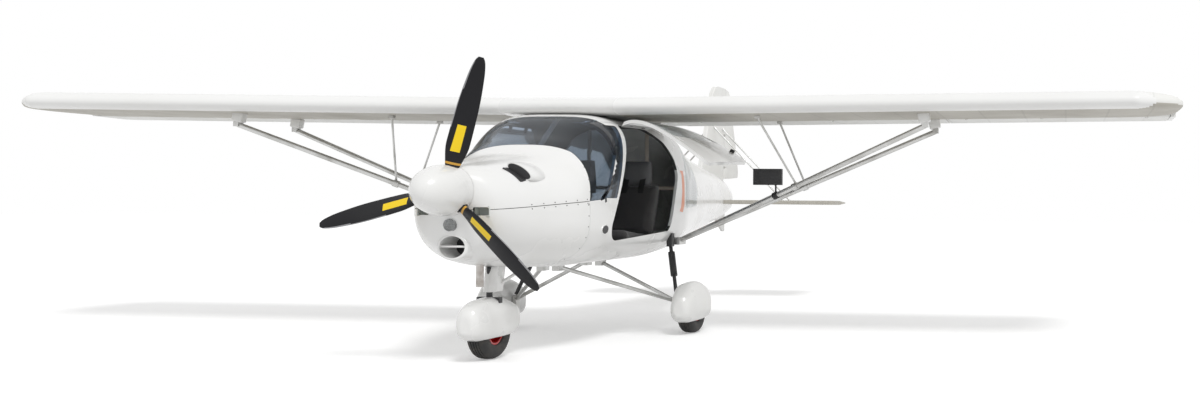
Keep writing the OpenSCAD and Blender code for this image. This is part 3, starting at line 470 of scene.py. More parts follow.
def side_prism(outline: list[tuple[float, float]], x0: float, x1: float, inset: float = 0.0,
               rounding: float = 0.0) -> bmesh.types.BMesh:
    """A side outline in stations and heights, extruded across.

    Args:
        outline: Corners in millimetres.
        x0: Where it starts, in millimetres to port.
        x1: Where it ends.
        inset: How far the outline is drawn in, in millimetres.
        rounding: Radius of the corners, in millimetres.

    Returns:
        The closed prism.
    """
    bm = bmesh.new()
    face = bm.faces.new([bm.verts.new(at(x0, s, z)) for s, z in outline])
    if rounding:
        bmesh.ops.bevel(bm, geom=list(bm.verts), offset=rounding * MM, offset_type="OFFSET", affect="VERTICES",
                        segments=6, profile=0.5, material=-1, clamp_overlap=True)
        face = max(bm.faces, key=lambda f: f.calc_area())
    if inset:
        bmesh.ops.remove_doubles(bm, verts=bm.verts, dist=5e-4)
        face = bm.faces[:][0]
        bmesh.ops.inset_region(bm, faces=[face], thickness=inset * MM, use_even_offset=True, use_boundary=True)
        bmesh.ops.delete(bm, geom=[f for f in bm.faces if f is not face], context="FACES")
    moved = bmesh.ops.extrude_face_region(bm, geom=[face])
    bmesh.ops.translate(bm, vec=Vector(((x1 - x0) * MM, 0, 0)),
                        verts=[v for v in moved["geom"] if isinstance(v, bmesh.types.BMVert)])
    bmesh.ops.recalc_face_normals(bm, faces=bm.faces)
    return bm


def tube(bm: bmesh.types.BMesh, a: Vector, b: Vector, radius: float, end_radius: float | None = None,
         segments: int = 24) -> list[bmesh.types.BMVert]:
    """Adds a round bar or cone between two points.

    Args:
        bm: Mesh to add to.
        a: First end, in metres.
        b: Second end.
        radius: Radius at the first end.
        end_radius: Radius at the second end, or the same.
        segments: Sides of the round.

    Returns:
        The new vertices.
    """
    v = b - a
    place = Matrix.Translation((a + b) / 2) @ v.to_track_quat("Z", "Y").to_matrix().to_4x4()
    made = bmesh.ops.create_cone(bm, cap_ends=True, segments=segments, radius1=radius,
                                 radius2=radius if end_radius is None else end_radius, depth=v.length, matrix=place)
    return made["verts"]


def add_block(bm: bmesh.types.BMesh, place: Vector, size: tuple[float, float, float],
              turn: Matrix | None = None) -> list[bmesh.types.BMVert]:
    """Adds a box to a mesh.

    Args:
        bm: Mesh to add to.
        place: Its middle, in metres.
        size: Its size along each axis before it is turned.
        turn: Its rotation, or none.

    Returns:
        The new vertices.
    """
    matrix = Matrix.Translation(place) @ (turn or Matrix.Identity(4)) @ Matrix.Diagonal((*size, 1.0))
    return bmesh.ops.create_cube(bm, size=1.0, matrix=matrix)["verts"]


def block(place: Vector, size: tuple[float, float, float], turn: Matrix | None = None) -> bmesh.types.BMesh:
    """Makes a loose box.

    Args:
        place: Its middle, in metres.
        size: Its size along each axis before it is turned.
        turn: Its rotation, or none.

    Returns:
        The box.
    """
    bm = bmesh.new()
    add_block(bm, place, size, turn)
    return bm


def about_y(degrees: float) -> Matrix:
    """Rotation about the aircraft's length."""
    return Matrix.Rotation(math.radians(degrees), 4, "Y")


def round_edges(bm: bmesh.types.BMesh, edges: list[bmesh.types.BMEdge], width: float, segments: int = 3,
                clamp: bool = False) -> None:
    """Rounds edges.

    Args:
        bm: Mesh to change.
        edges: The edges.
        width: Size of the rounding, in metres.
        segments: Steps of the rounding.
        clamp: Whether neighbouring roundings may not overlap.
    """
    bmesh.ops.bevel(bm, geom=edges, offset=width, offset_type="OFFSET", affect="EDGES", segments=segments,
                    profile=0.5, material=-1, clamp_overlap=clamp)


def fill_ends(bm: bmesh.types.BMesh) -> None:
    """Closes every open loop of a mesh."""
    bmesh.ops.holes_fill(bm, edges=[e for e in bm.edges if e.is_boundary], sides=0)


def carve(obj: bpy.types.Object, tools: list[tuple[bmesh.types.BMesh, Cut]]) -> None:
    """Cuts an object with tools and bakes the result into its mesh.

    Args:
        obj: The object to change.
        tools: Meshes and what each does.
    """
    helpers = []
    for tool, cut in tools:
        helper = bare_object(tool)
        helpers.append(helper)
        modifier = obj.modifiers.new("cut", "BOOLEAN")
        modifier.operation = cut.value
        modifier.solver = "EXACT"
        modifier.object = helper
    settle(obj)
    for helper in helpers:
        mesh = helper.data
        bpy.data.objects.remove(helper)
        bpy.data.meshes.remove(mesh)


def settle(obj: bpy.types.Object) -> None:
    """Applies an object's modifiers to its mesh.

    Args:
        obj: Object to change.
    """
    bpy.context.view_layer.update()
    dg = bpy.context.evaluated_depsgraph_get()
    made = bpy.data.meshes.new_from_object(obj.evaluated_get(dg))
    obj.modifiers.clear()
    old = obj.data
    obj.data = made
    bpy.data.meshes.remove(old)


def reshade(obj: bpy.types.Object, angle: float = 32.0) -> None:
    """Smooths an object's faces and keeps its edges sharp past an angle.

    Args:
        obj: Object to change.
        angle: Angle past which an edge stays sharp, in degrees.
    """
    obj.data.shade_smooth()
    obj.data.set_sharp_from_angle(angle=math.radians(angle))
    if obj.data.polygons:
        modifier = obj.modifiers.new("even", "WEIGHTED_NORMAL")
        modifier.keep_sharp = True
        settle(obj)


def smooth_through(xs: list[float], ys: list[float], x: float) -> float:
    """Value at x of a smooth curve through points that doesn't overshoot them.

    Args:
        xs: Rising places.
        ys: Values there.
        x: The place asked for.

    Returns:
        The value.
    """
    n = len(xs)
    x = min(max(x, xs[0]), xs[-1])
    k = max(i for i in range(n - 1) if xs[i] <= x)
    slopes = [(ys[i + 1] - ys[i]) / (xs[i + 1] - xs[i]) for i in range(n - 1)]

    def tangent(i: int) -> float:
        """Slope of the curve at a point."""
        if i in (0, n - 1):
            return slopes[0] if i == 0 else slopes[-1]
        a, b = slopes[i - 1], slopes[i]
        if a * b <= 0:
            return 0.0
        return 2 * a * b / (a + b)

    h = xs[k + 1] - xs[k]
    u = (x - xs[k]) / h
    return ((2 * u**3 - 3 * u**2 + 1) * ys[k] + (u**3 - 2 * u**2 + u) * h * tangent(k)
            + (-2 * u**3 + 3 * u**2) * ys[k + 1] + (u**3 - u**2) * h * tangent(k + 1))


@dataclass(frozen=True)
class Form:
    """A body drawn through rows of station, half width, low, widest, high and two squarenesses."""

    rows: tuple[tuple[float, ...], ...]
    x: float = 0.0

    def point(self, station: float, turn: float, sink: float = 0.0) -> Vector:
        """A point on the surface.

        Args:
            station: Where along the body, in millimetres.
            turn: Angle round the section, in radians, 0 to port and a quarter turn up.
            sink: How far inside the surface.

        Returns:
            The point in metres.
        """
        xs = [row[0] for row in self.rows]
        w, low, mid, high, below, above = (
            smooth_through(xs, [row[k] for row in self.rows], station) for k in range(1, 7))
        c, s = math.cos(turn), math.sin(turn)
        p = above if s >= 0 else below
        rise = (high - mid if s >= 0 else mid - low) - sink
        x = (w - sink) * math.copysign(abs(c) ** (2 / p), c)
        return at(self.x + x, station, mid + rise * math.copysign(abs(s) ** (2 / p), s))

    def spot(self, station: float, z: float, side: Side) -> tuple[Vector, Vector]:
        """A place on the surface at a height, and the way out there.

        Args:
            station: Where along the body.
            z: Height in millimetres.
            side: Which side.

        Returns:
            The place and the outward normal.
        """
        xs = [row[0] for row in self.rows]
        low, mid, high, below, above = (
            smooth_through(xs, [row[k] for row in self.rows], station) for k in range(2, 7))
        share = (z - mid) / (high - mid if z > mid else mid - low)
        power = above if z > mid else below
        turn = math.asin(math.copysign(min(abs(share), 1.0) ** (power / 2), share))
        return self.normal_at(station, turn if side is Side.PORT else math.pi - turn)

    def over(self, station: float, x: float) -> tuple[Vector, Vector]:
        """A place on top of the body at a distance from its middle, and the way out there."""
        xs = [row[0] for row in self.rows]
        w, above = (smooth_through(xs, [row[k] for row in self.rows], station) for k in (1, 6))
        turn = math.acos(math.copysign(min(abs(x) / w, 1.0) ** (above / 2), x))
        return self.normal_at(station, turn)

    def normal_at(self, station: float, turn: float) -> tuple[Vector, Vector]:
        """A place on the surface and its outward normal.

        Args:
            station: Distance behind the propeller's plane, in millimetres.
            turn: Place around the section, as for point().

        Returns:
            The place and the normal.
        """
        here = self.point(station, turn)
        a = self.point(station, turn + 0.01) - self.point(station, turn - 0.01)
        b = self.point(station + 2, turn) - self.point(station - 2, turn)
        out = b.cross(a).normalized()
        middle = at(self.x, station, 1050)
        return here, out if out.dot(here - middle) > 0 else -out

    def sheet(self, bm: bmesh.types.BMesh, start: float, end: float, sink: float, along: int,
              around: int) -> list[bmesh.types.BMVert]:
        """Adds one open tube of the surface.

        Args:
            bm: Mesh to add to.
            start: First station.
            end: Last station.
            sink: How far inside the surface.
            along: Steps along the body.
            around: Steps round it.

        Returns:
            The vertices.
        """
        made = bmesh.ops.create_grid(bm, x_segments=around, y_segments=along, size=0.5)["verts"]
        for v in made:
            u, t = v.co.x + 0.5, v.co.y + 0.5
            v.co = self.point(start + (end - start) * t, 2 * math.pi * u, sink)
        bmesh.ops.remove_doubles(bm, verts=made, dist=1e-6)
        return [v for v in made if v.is_valid]

    def shell(self, start: float, end: float, wall: float, sink: float = 0.0, along: int = 40,
              around: int = 128) -> bmesh.types.BMesh:
        """A closed wall between two stations.

        Args:
            start: First station.
            end: Last station.
            wall: Thickness of the wall.
            sink: How far its outside lies inside the form.
            along: Steps along the body.
            around: Steps round it.

        Returns:
            The closed mesh.
        """
        bm = bmesh.new()
        self.sheet(bm, start, end, sink, along, around)
        outside = set(bm.faces)
        self.sheet(bm, start, end, sink + wall, along, around)
        bmesh.ops.reverse_faces(bm, faces=[f for f in bm.faces if f not in outside])
        for station in (start, end):
            y = at(0, station, 0).y
            edges = [e for e in bm.edges if e.is_boundary and all(abs(v.co.y - y) < 1e-5 for v in e.verts)]
            bmesh.ops.bridge_loops(bm, edges=edges)
        bmesh.ops.recalc_face_normals(bm, faces=bm.faces)
        return bm

    def solid(self, start: float, end: float, along: int = 40, around: int = 96) -> bmesh.types.BMesh:
        """A closed body between two stations, with filled ends."""
        bm = bmesh.new()
        self.sheet(bm, start, end, 0.0, along, around)
        fill_ends(bm)
        bmesh.ops.recalc_face_normals(bm, faces=bm.faces)
        return bm


HALF = 610.0
HULL = Form((
    (44, 160, 960, 1120, 1280, 2, 2), (110, 270, 745, 1030, 1285, 2.2, 2.2), (300, 380, 655, 970, 1300, 2.3, 2.2),
    (560, 485, 615, 950, 1335, 2.4, 2.3), (800, HALF * 0.93, 602, 960, 1385, 2.7, 2.5),
    (1050, HALF * 0.98, 590, 980, 1520, 3, 2.8), (1450, HALF, 590, 1000, 1715, 3, 3.7),
    (2100, HALF, 590, 1000, 1715, 3, 4), (2620, HALF * 0.94, 610, 1000, 1715, 2.8, 3.6),
    (3100, HALF * 0.78, 650, 1020, 1640, 2.6, 2.8), (3800, HALF * 0.55, 725, 1060, 1525, 2.4, 2.4),
    (4600, HALF * 0.33, 810, 1080, 1420, 2.2, 2.2), (5250, 105, 910, 1090, 1325, 2.1, 2.1),
    (5590, 50, 990, 1090, 1215, 2, 2),
))
WINDSHIELD = [(804, 1062), (950, 1410), (960, 1800), (1470, 1800), (1450, 1690), (1290, 1640), (1235, 1400),
              (1080, 1180), (960, 1075)]
QUARTER = [(985, 1085), (1100, 1170), (1262, 1400), (1320, 1630), (1425, 1630), (1160, 1085)]
DOOR = [(1480, 1640), (1090, 890), (1098, 835), (1128, 798), (1185, 775), (2185, 825), (2220, 865),
        (2395, 1260), (2400, 1310), (2340, 1410), (2170, 1550), (1970, 1640)]
DOOR_WINDOW = [(1490, 1580), (1280, 1140), (2290, 1140), (2325, 1260), (2325, 1305), (2280, 1385), (2130, 1505),
               (1955, 1580)]
REAR_WINDOW = [(2660, 1010), (2660, 1560), (3080, 1500), (3330, 1330), (3400, 1150), (3300, 1030)]


def merged_copy(node: str) -> bmesh.types.BMesh:
    """A copy of a CAD node's mesh with its loose triangles joined and flat faces merged.

    Args:
        node: Name of the node.

    Returns:
        The joined mesh.
    """
    bm = bmesh.new()
    bm.from_mesh(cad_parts[node].data)
    bmesh.ops.remove_doubles(bm, verts=bm.verts, dist=1e-5)
    bmesh.ops.dissolve_limit(bm, angle_limit=math.radians(1), verts=bm.verts, edges=bm.edges)
    return bm


def softened(node: str, name: str, finishes: list[Finish], body: str = AIRFRAME, width: float = 0.004,
             smooth: float = 34.0, segments: int = 3) -> bpy.types.Object:
    """A CAD node with rounded edges in its place.

    Args:
        node: The node that the piece stands for.
        name: Name of the piece.
        finishes: Its finishes.
        body: The body that it rides on.
        width: Size of the rounding, in metres.
        smooth: Edges sharper than this stay sharp.
        segments: Steps of the rounding.

    Returns:
        The new piece.
    """
    bm = merged_copy(node)
    sharp = [e for e in bm.edges if len(e.link_faces) == 2 and e.calc_face_angle(0) > math.radians(30)]
    round_edges(bm, sharp, width, segments, clamp=True)
    return finish_object(name, bm, finishes, body, (node,), smooth=smooth)


# ---------- Fuselage ----------
@dataclass
class Fuselage:
    """The cowl, cabin and tail cone as one smooth skin, with its openings, panes and doors."""

    wall: float = 22.0
    cowl_wall: float = 8.0
    pane: float = 5.0
    seam: float = 2.0
    door_gap: float = 6.0
    door_drop: float = 16.0
    door_open: float = 62.0
    hinge_stations: tuple[float, float] = (1620.0, 1860.0)
    inlet_x: float = 190.0
    inlet_z: float = 992.0
    lamp_z: float = 905.0
    duct_z: float = 765.0
    hinge: Vector = field(default_factory=lambda: Vector((0.45451, 0.0, 1.654)))

    def region(self, outline: list[tuple[float, float]], x0: float = -900.0, x1: float = 900.0,
               inset: float = 0.0, rounding: float = 0.0) -> bmesh.types.BMesh:
        """A prism across the fuselage for cutting."""
        return side_prism(outline, x0, x1, inset, rounding)

    def build(self) -> None:
        """Builds the fuselage's pieces."""
        self.upper_cowl()
        self.lower_cowl()
        self.cabin()
        self.panes()
        self.doors()
        self.tail_cone()
        self.brow()
        self.details()

    def inlets(self) -> list[tuple[bmesh.types.BMesh, Cut]]:
        """The two rectangular cooling inlets beside the spinner."""
        tools = []
        for side in Side:
            bm = block(at(self.inlet_x * side.value, 110, self.inlet_z), (0.086, 0.24, 0.052))
            round_edges(bm, list(bm.edges), 0.010)
            tools.append((bm, Cut.REMOVE))
        return tools

    def details(self) -> None:
        """Adds the inlet ducts, screws, side vents and stripes."""
        for side in Side:
            bm = block(at(self.inlet_x * side.value, 112, self.inlet_z), (0.092, 0.06, 0.058))
            bmesh.ops.delete(bm, geom=[f for f in bm.faces if f.normal.y < -0.9], context="FACES")
            bmesh.ops.solidify(bm, geom=bm.faces, thickness=-0.003)
            bmesh.ops.recalc_face_normals(bm, faces=bm.faces)
            finish_object(f"inlet_duct_{side.word}", bm, [DUCT])
        self.screws()
        self.vent()
        self.stripe()

    def screws(self) -> None:
        """Screws along the cowl's split, its rear edge and the windshield."""
        bm = bmesh.new()
        places = [(s, 1020 + (s - 300) * 0.083 + dz) for s in range(330, 790, 90) for dz in (-14, 14)]
        places += [(786, z) for z in range(660, 1040, 75)]
        places += [(s, 1075 + (s - 804) * 2.39) for s in (790, 826, 862, 898)]
        for station, z in places:
            for side in Side:
                spot, out = HULL.spot(station, z, side)
                tube(bm, spot - out * 0.002, spot + out * 0.0012, 0.0045, 0.0035, 12)
        for k in range(-7, 8):
            spot, out = HULL.over(1500, k * 55)
            tube(bm, spot - out * 0.002, spot + out * 0.0015, 0.005, 0.004, 12)
        finish_object("skin_screws", bm, [BLACK])

    def vent(self) -> None:
        """The oval vents low on both sides."""
        for side in Side:
            spot, out = HULL.spot(990, 862, side)
            turn = out.to_track_quat("Z", "Y").to_matrix().to_4x4()
            ring, dark = bmesh.new(), bmesh.new()
            tube(ring, Vector((0, 0, -0.004)), Vector((0, 0, 0.004)), 0.052, 0.048, 40)
            tube(dark, Vector((0, 0, -0.004)), Vector((0, 0, 0.0048)), 0.041, 0.040, 40)
            for mesh, name, finish in ((ring, "vent_ring", WHITE), (dark, "vent_screen", BLACK)):
                bmesh.ops.transform(mesh, verts=mesh.verts, matrix=Matrix.Translation(spot) @ turn
                                    @ Matrix.Diagonal((1.0, 0.75, 1.0, 1.0)))
                finish_object(f"{name}_{side.word}", mesh, [finish])

    def stripe(self) -> None:
        """The plain orange stripe behind each door."""
        for side in Side:
            bm = HULL.shell(2400, 2640, 0.5, -0.5, along=30)
            obj = finish_object(f"stripe_{side.word}", bm, [ORANGE])
            x = side.half
            outline = [(2470, 1330), (2520, 1300), (2535, 1150), (2500, 1020), (2450, 985), (2560, 975),
                       (2610, 1040), (2612, 1230), (2580, 1330)]
            carve(obj, [(self.region(outline, *x, rounding=12), Cut.KEEP)])
            reshade(obj)

    def upper_cowl(self) -> None:
        """Builds the upper cowl with its scoop."""
        bm = HULL.shell(44, 1050, self.cowl_wall, along=60, around=160)
        obj = finish_object("cowl_upper_skin", bm, [WHITE], replaces=("cowl_upper",))
        slot = block(at(266, 352, 1250), (0.16, 0.066, 0.12), about_y(32))
        round_edges(slot, list(slot.edges), 0.016, 4)
        blister = bmesh.new()
        bmesh.ops.create_uvsphere(blister, u_segments=40, v_segments=20, radius=1.0,
                                  matrix=Matrix.Translation(at(272, 510, 1254)) @ about_y(30)
                                  @ Matrix.Diagonal((0.115, 0.23, 0.042, 1.0)))
        mouth = blister.copy()
        for part, front in ((blister, 384), (mouth, 381)):
            bmesh.ops.bisect_plane(part, geom=[*part.verts, *part.edges, *part.faces], plane_co=at(0, front, 0),
                                   plane_no=(0, 1, 0), clear_inner=True)
        bmesh.ops.bisect_plane(mouth, geom=[*mouth.verts, *mouth.edges, *mouth.faces], plane_co=at(0, 386, 0),
                               plane_no=(0, 1, 0), clear_outer=True)
        for part in (blister, mouth):
            fill_ends(part)
        middle = at(272, 384, 1254)
        bmesh.ops.transform(mouth, verts=mouth.verts, matrix=Matrix.Translation(middle)
                            @ Matrix.Diagonal((0.9, 1.0, 0.9, 1.0)) @ Matrix.Translation(-middle))
        # The black oval on the scoop's front is painted shade, standing in for the dark inside of its opening.
        finish_object("scoop_mouth", mouth, [BLACK])
        top = [(40, 1000), (40, 1800), (960, 1800), (950, 1410), (804, 1062), (300, 1020)]
        carve(obj, [(blister, Cut.JOIN), (self.region(top, inset=self.seam), Cut.KEEP), (slot, Cut.REMOVE),
                    *self.inlets()])
        reshade(obj)
        # The black slab under the slot is painted shade, standing in for the dark inside of the scoop.
        finish_object("scoop_throat", block(at(254, 352, 1229), (0.15, 0.062, 0.02), about_y(32)), [BLACK])

    def brow(self) -> None:
        """The white strip over the windshield's top edge."""
        obj = finish_object("roof_brow", HULL.shell(1345, 1640, 5, -3, along=12, around=160), [WHITE])
        carve(obj, [(self.region([(1352, 1655), (1352, 1800), (1630, 1800), (1630, 1655)]), Cut.KEEP)])
        reshade(obj)

    def lower_cowl(self) -> None:
        """Builds the lower cowl with its chin duct and the splitter inside it."""
        bm = HULL.shell(44, 799, self.cowl_wall, along=50, around=160)
        obj = finish_object("cowl_lower_skin", bm, [WHITE], replaces=("cowl_lower",))
        low = [(40, 400), (40, 1000), (300, 1020), (799, 1061), (799, 400)]
        duct = bmesh.new()
        tube(duct, Vector((0, 0, 0)), Vector((0, 0.21, 0)), 0.085, 0.090, 64)
        round_edges(duct, [e for e in duct.edges if all(v.co.y < 0.01 for v in e.verts)], 0.010, 4)
        bore = bmesh.new()
        tube(bore, Vector((0, -0.08, 0)), Vector((0, 0.24, 0)), 0.069, 0.069, 64)
        leg = block(at(0, 610, 600), (0.104, 0.23, 0.3))
        pipe = bmesh.new()
        tube(pipe, at(0, 400, 500), at(0, 400, 700), 0.030)
        lamp = bmesh.new()
        tube(lamp, at(0, -20, self.lamp_z), at(0, 172, self.lamp_z), 0.0393, segments=48)
        for part in (duct, bore):
            bmesh.ops.transform(part, verts=part.verts, matrix=Matrix.Translation(at(0, 74, self.duct_z))
                                @ Matrix.Diagonal((1.22, 1.0, 1.0, 1.0)))
            bmesh.ops.recalc_face_normals(part, faces=part.faces)
        carve(obj, [(duct, Cut.JOIN), (self.region(low, inset=self.seam), Cut.KEEP), (bore, Cut.REMOVE),
                    (leg, Cut.REMOVE), (pipe, Cut.REMOVE), (lamp, Cut.REMOVE), *self.inlets()])
        reshade(obj)
        vane = bmesh.new()
        tube(vane, at(-86, 96, 768), at(86, 96, 768), 0.007, segments=16)
        finish_object("chin_splitter", vane, [WHITE])
        finish_object("chin_radiator", block(at(0, 265, self.duct_z), (0.16, 0.006, 0.13)), [BLACK])

    def cabin(self) -> None:
        """Builds the cabin's skin round its doorways and windows."""
        bm = HULL.shell(800, 2619, self.wall, along=70, around=160)
        obj = finish_object("cabin_skin", bm, [WHITE], replaces=("cabin_shell",))
        lap = [(780, 1061), (804.3, 1061), (950.3, 1410), (960.3, 1800), (780, 1800)]
        carve(obj, [(self.region(WINDSHIELD), Cut.REMOVE), (self.region(lap), Cut.REMOVE),
                    (self.region(QUARTER, rounding=14), Cut.REMOVE), (self.region(DOOR, rounding=40), Cut.REMOVE)])
        reshade(obj)
        obj.data.materials.append(BAND.make())
        obj.data.materials.append(LINING.make())
        for face in obj.data.polygons:
            station = face.center.y / MM + ORIGIN_STATION
            z = face.center.z / MM
            front = smooth_through([1062, 1180, 1400, 1640], [930, 1080, 1235, 1290], z)
            if 1068 < z < 1665 and front - 4 < station < front + 62:
                face.material_index = 1
            elif self.inner(face):
                face.material_index = 2

    def inner(self, face: bpy.types.MeshPolygon) -> bool:
        """Whether a face of a wall looks inwards."""
        out = Vector((face.center.x, 0, face.center.z - 1.1)).normalized()
        return face.normal.dot(out) < -0.2

    def panes(self) -> None:
        """Builds the fixed panes."""
        for name, node, outline, start, end, finish, rounding in (
                ("windshield_pane", "windshield", WINDSHIELD, 800, 1500, GLASS, 0.0),
                ("quarter_panes", "quarter_windows", QUARTER, 900, 1500, GLASS, 14.0),
                ("rear_panes", "rear_windows", REAR_WINDOW, 2630, 3450, PALE_GLASS, 30.0)):
            obj = finish_object(name, HULL.shell(start, end, self.pane, along=36), [finish], replaces=(node,))
            carve(obj, [(self.region(outline, inset=0.3, rounding=rounding), Cut.KEEP)])
            reshade(obj)

    def doors(self) -> None:
        """Builds both doors closed, then swings the port one open."""
        for side in Side:
            turn = Matrix.Identity(4)
            if side is Side.PORT:
                turn = Matrix.Translation(self.hinge) @ about_y(-self.door_open) @ Matrix.Translation(-self.hinge)
            word = side.word
            x = side.half
            body = f"{word}_door"
            under = block(Vector((0, -1.0, 0.813)), (3.0, 4.0, 1.626))
            panel = finish_object(f"door_skin_{word}", HULL.shell(1060, 2600, self.wall, along=60), [WHITE], body,
                                  (f"door_{word}",))
            lower = [(s, z - self.door_drop) for s, z in DOOR]
            carve(panel, [(self.region(DOOR, *x, inset=self.door_gap, rounding=36), Cut.KEEP),
                          (self.region(lower, *x, inset=self.door_gap, rounding=36), Cut.KEEP),
                          (self.region(DOOR_WINDOW, *x, rounding=30), Cut.REMOVE), (under, Cut.KEEP)])
            pane = finish_object(f"door_pane_{word}", HULL.shell(1060, 2600, self.pane, 4, along=60), [PALE_GLASS],
                                 body, (f"door_window_{word}",))
            carve(pane, [(self.region(DOOR_WINDOW, *x, inset=0.3, rounding=30), Cut.KEEP)])
            straps = bmesh.new()
            for s in self.hinge_stations:
                tube(straps, Vector((self.hinge.x * side.value, at(0, s - 18, 0).y, self.hinge.z)),
                     Vector((self.hinge.x * side.value, at(0, s + 18, 0).y, self.hinge.z)), 0.009)
                leaf = Vector((side.value * (self.hinge.x + 0.008), at(0, s, 0).y, self.hinge.z - 0.030))
                add_block(straps, leaf, (0.010, 0.036, 0.06), about_y(-24 * side.value))
            strap = finish_object(f"door_straps_{word}", straps, [BLACK], body)
            knob = bmesh.new()
            tube(knob, Vector((side.value * 0.585, at(0, 2190, 0).y, 0.98)),
                 Vector((side.value * 0.63, at(0, 2190, 0).y, 0.98)), 0.022, 0.018)
            latch = finish_object(f"door_latch_{word}", knob, [PLASTIC], body)
            for obj in (panel, pane, strap, latch):
                obj.data.transform(turn)
                reshade(obj)

    def tail_cone(self) -> None:
        """Builds the rear fuselage with its fin below."""
        bm = HULL.shell(2620.3, 5590, 10.0, along=90, around=128)
        obj = finish_object("tail_cone_skin", bm, [WHITE], replaces=("rear_fuselage",))
        slot = block(at(0, 5199, 1070), (2.0, 0.47, 0.0446))
        room = block(at(0, 5440, 1070), (2.0, 0.056, 0.056))
        keel = side_prism([(5090, 900), (5360, 740), (5420, 740), (5420, 970)], -12, 12, rounding=6)
        carve(obj, [(self.region(REAR_WINDOW, rounding=30), Cut.REMOVE), (keel, Cut.JOIN), (slot, Cut.REMOVE),
                    (room, Cut.REMOVE)])
        reshade(obj)


# ---------- Wing ----------
@dataclass
class Wing:
    """Both wings: an aerofoil skin that sags a little between its ribs."""

    root: float = 450.0
    half_span: float = 4725.0
    chord: float = 1300.0
    thickness: float = 150.0
    rear_cut: float = 967.0
    dihedral: float = 0.7
    wing_station: float = 1420.0
    wing_z: float = 1715.3
    strut_x: float = 2780.0
    rib_pitch: float = 320.0
    sag: float = 3.5
    upper: tuple[tuple[float, float], ...] = ((0, 0.42), (0.008, 0.60), (0.03, 0.76), (0.08, 0.90), (0.16, 0.98),
                                              (0.28, 1.0), (0.45, 0.93), (0.62, 0.75), (0.744, 0.46))
    lower: tuple[tuple[float, float], ...] = ((0, 0.42), (0.008, 0.25), (0.03, 0.12), (0.10, 0.03), (0.30, 0.0),
                                              (0.62, 0.02), (0.744, 0.10))

    def height(self, table: tuple[tuple[float, float], ...], chordwise: float) -> float:
        """Height of a surface at a chord, smooth at the nose."""
        share = min(max(chordwise / self.chord, 0.0), 0.744)
        return self.thickness * smooth_through([math.sqrt(a) for a, _ in table], [b for _, b in table],
                                               math.sqrt(share))

    def nose(self, x: float) -> float:
        """How far the leading edge is cut back near the tip."""
        ends = [(self.half_span - 360, 0.0), (self.half_span - 60, 270.0), (self.half_span, 420.0)]
        if x <= ends[0][0]:
            return 0.0
        return smooth_through([a for a, _ in ends], [b for _, b in ends], x)

    def place(self, x: float, chordwise: float, z: float) -> Vector:
        """Puts a point of the flat wing at its dihedral."""
        turn = math.radians(self.dihedral)
        return at(self.root + (x - self.root) * math.cos(turn) - z * math.sin(turn), self.wing_station + chordwise,
                  self.wing_z + (x - self.root) * math.sin(turn) + z * math.cos(turn))

    def skin_point(self, x: float, around: float) -> Vector:
        """A point of the skin.

        Args:
            x: Distance from the centreline.
            around: From 0 at the top of the rear spar, round the nose at a half, to 1.

        Returns:
            The point in metres.
        """
        top = around < 0.5
        share = abs(1 - 2 * around) ** 1.6
        chordwise = share * self.rear_cut
        z = self.height(self.upper if top else self.lower, chordwise)
        phase = math.sin(math.pi * ((x - self.root) / self.rib_pitch)) ** 2
        if share > 0.12 and x < self.half_span - 300:
            z += (-1 if top else 1) * self.sag * phase * min(1.0, (share - 0.12) * 6) * (1 - share**6)
        start = self.nose(x)
        middle = 70.0
        squeeze = 1 - 0.62 * (start / 420.0) ** 1.5
        return self.place(x, start + chordwise * (1 - start / self.rear_cut), middle + (z - middle) * squeeze)

    def build(self) -> None:
        """Builds both wings, the roof fairing and the small fittings."""
        self.centre()
        for side in Side:
            bm = bmesh.new()
            made = bmesh.ops.create_grid(bm, x_segments=170, y_segments=72, size=0.5)["verts"]
            for v in made:
                u, t = v.co.x + 0.5, v.co.y + 0.5
                v.co = self.skin_point(self.root + 1 + (self.half_span - self.root - 1) * u, t)
            rim = [e for e in bm.edges if e.is_boundary]
            for f in bm.faces:
                middle = f.calc_center_median()
                chordwise = middle.y / MM + ORIGIN_STATION - self.wing_station
                f.material_index = 0 if chordwise < 105 else 1
            self.close(bm, rim)
            if side is Side.STARBOARD:
                bmesh.ops.transform(bm, verts=bm.verts, matrix=Matrix.Diagonal((-1.0, 1.0, 1.0, 1.0)))
            self.trailing_blocks(bm, side)
            bmesh.ops.recalc_face_normals(bm, faces=bm.faces)
            # Faces of the fabric that look downwards take the darker copy, as painted shade under the wing.
            for f in bm.faces:
                if f.material_index == 1 and f.normal.z < -0.3:
                    f.material_index = 2
            word = side.word
            finish_object(f"wing_skin_{word}", bm, [WHITE_EDGE, FABRIC_TOP, FABRIC_PAINTED_SHADE],
                          replaces=(f"wing_{word}",), smooth=40)
            self.fittings(side)

    def centre(self) -> None:
        """Builds the smooth centre section over the roof."""
        bm = bmesh.new()
        for v in bmesh.ops.create_grid(bm, x_segments=24, y_segments=72, size=0.5)["verts"]:
            x, spot = v.co.x * 2, self.skin_point(self.root, v.co.y + 0.5)
            bow = 0.016 * (1 - x * x) * max(0.0, 1 - (spot.y + 1.4) * 8)
            v.co = Vector((x * self.root * MM, spot.y - bow, spot.z))
        self.close(bm, [e for e in bm.edges if e.is_boundary])
        corners = [at(-self.root, self.wing_station + c, self.wing_z + z)
                   for c, z in ((957, 69), (1290, 30), (1290, 4), (957, 4))]
        face = bm.faces.new([bm.verts.new(v) for v in corners])
        moved = bmesh.ops.extrude_face_region(bm, geom=[face])["geom"]
        bmesh.ops.translate(bm, vec=Vector((2 * self.root * MM, 0, 0)),
                            verts=[v for v in moved if isinstance(v, bmesh.types.BMVert)])
        bmesh.ops.recalc_face_normals(bm, faces=bm.faces)
        finish_object("roof_centre_section", bm, [WHITE], replaces=("roof_fairing",), smooth=40)

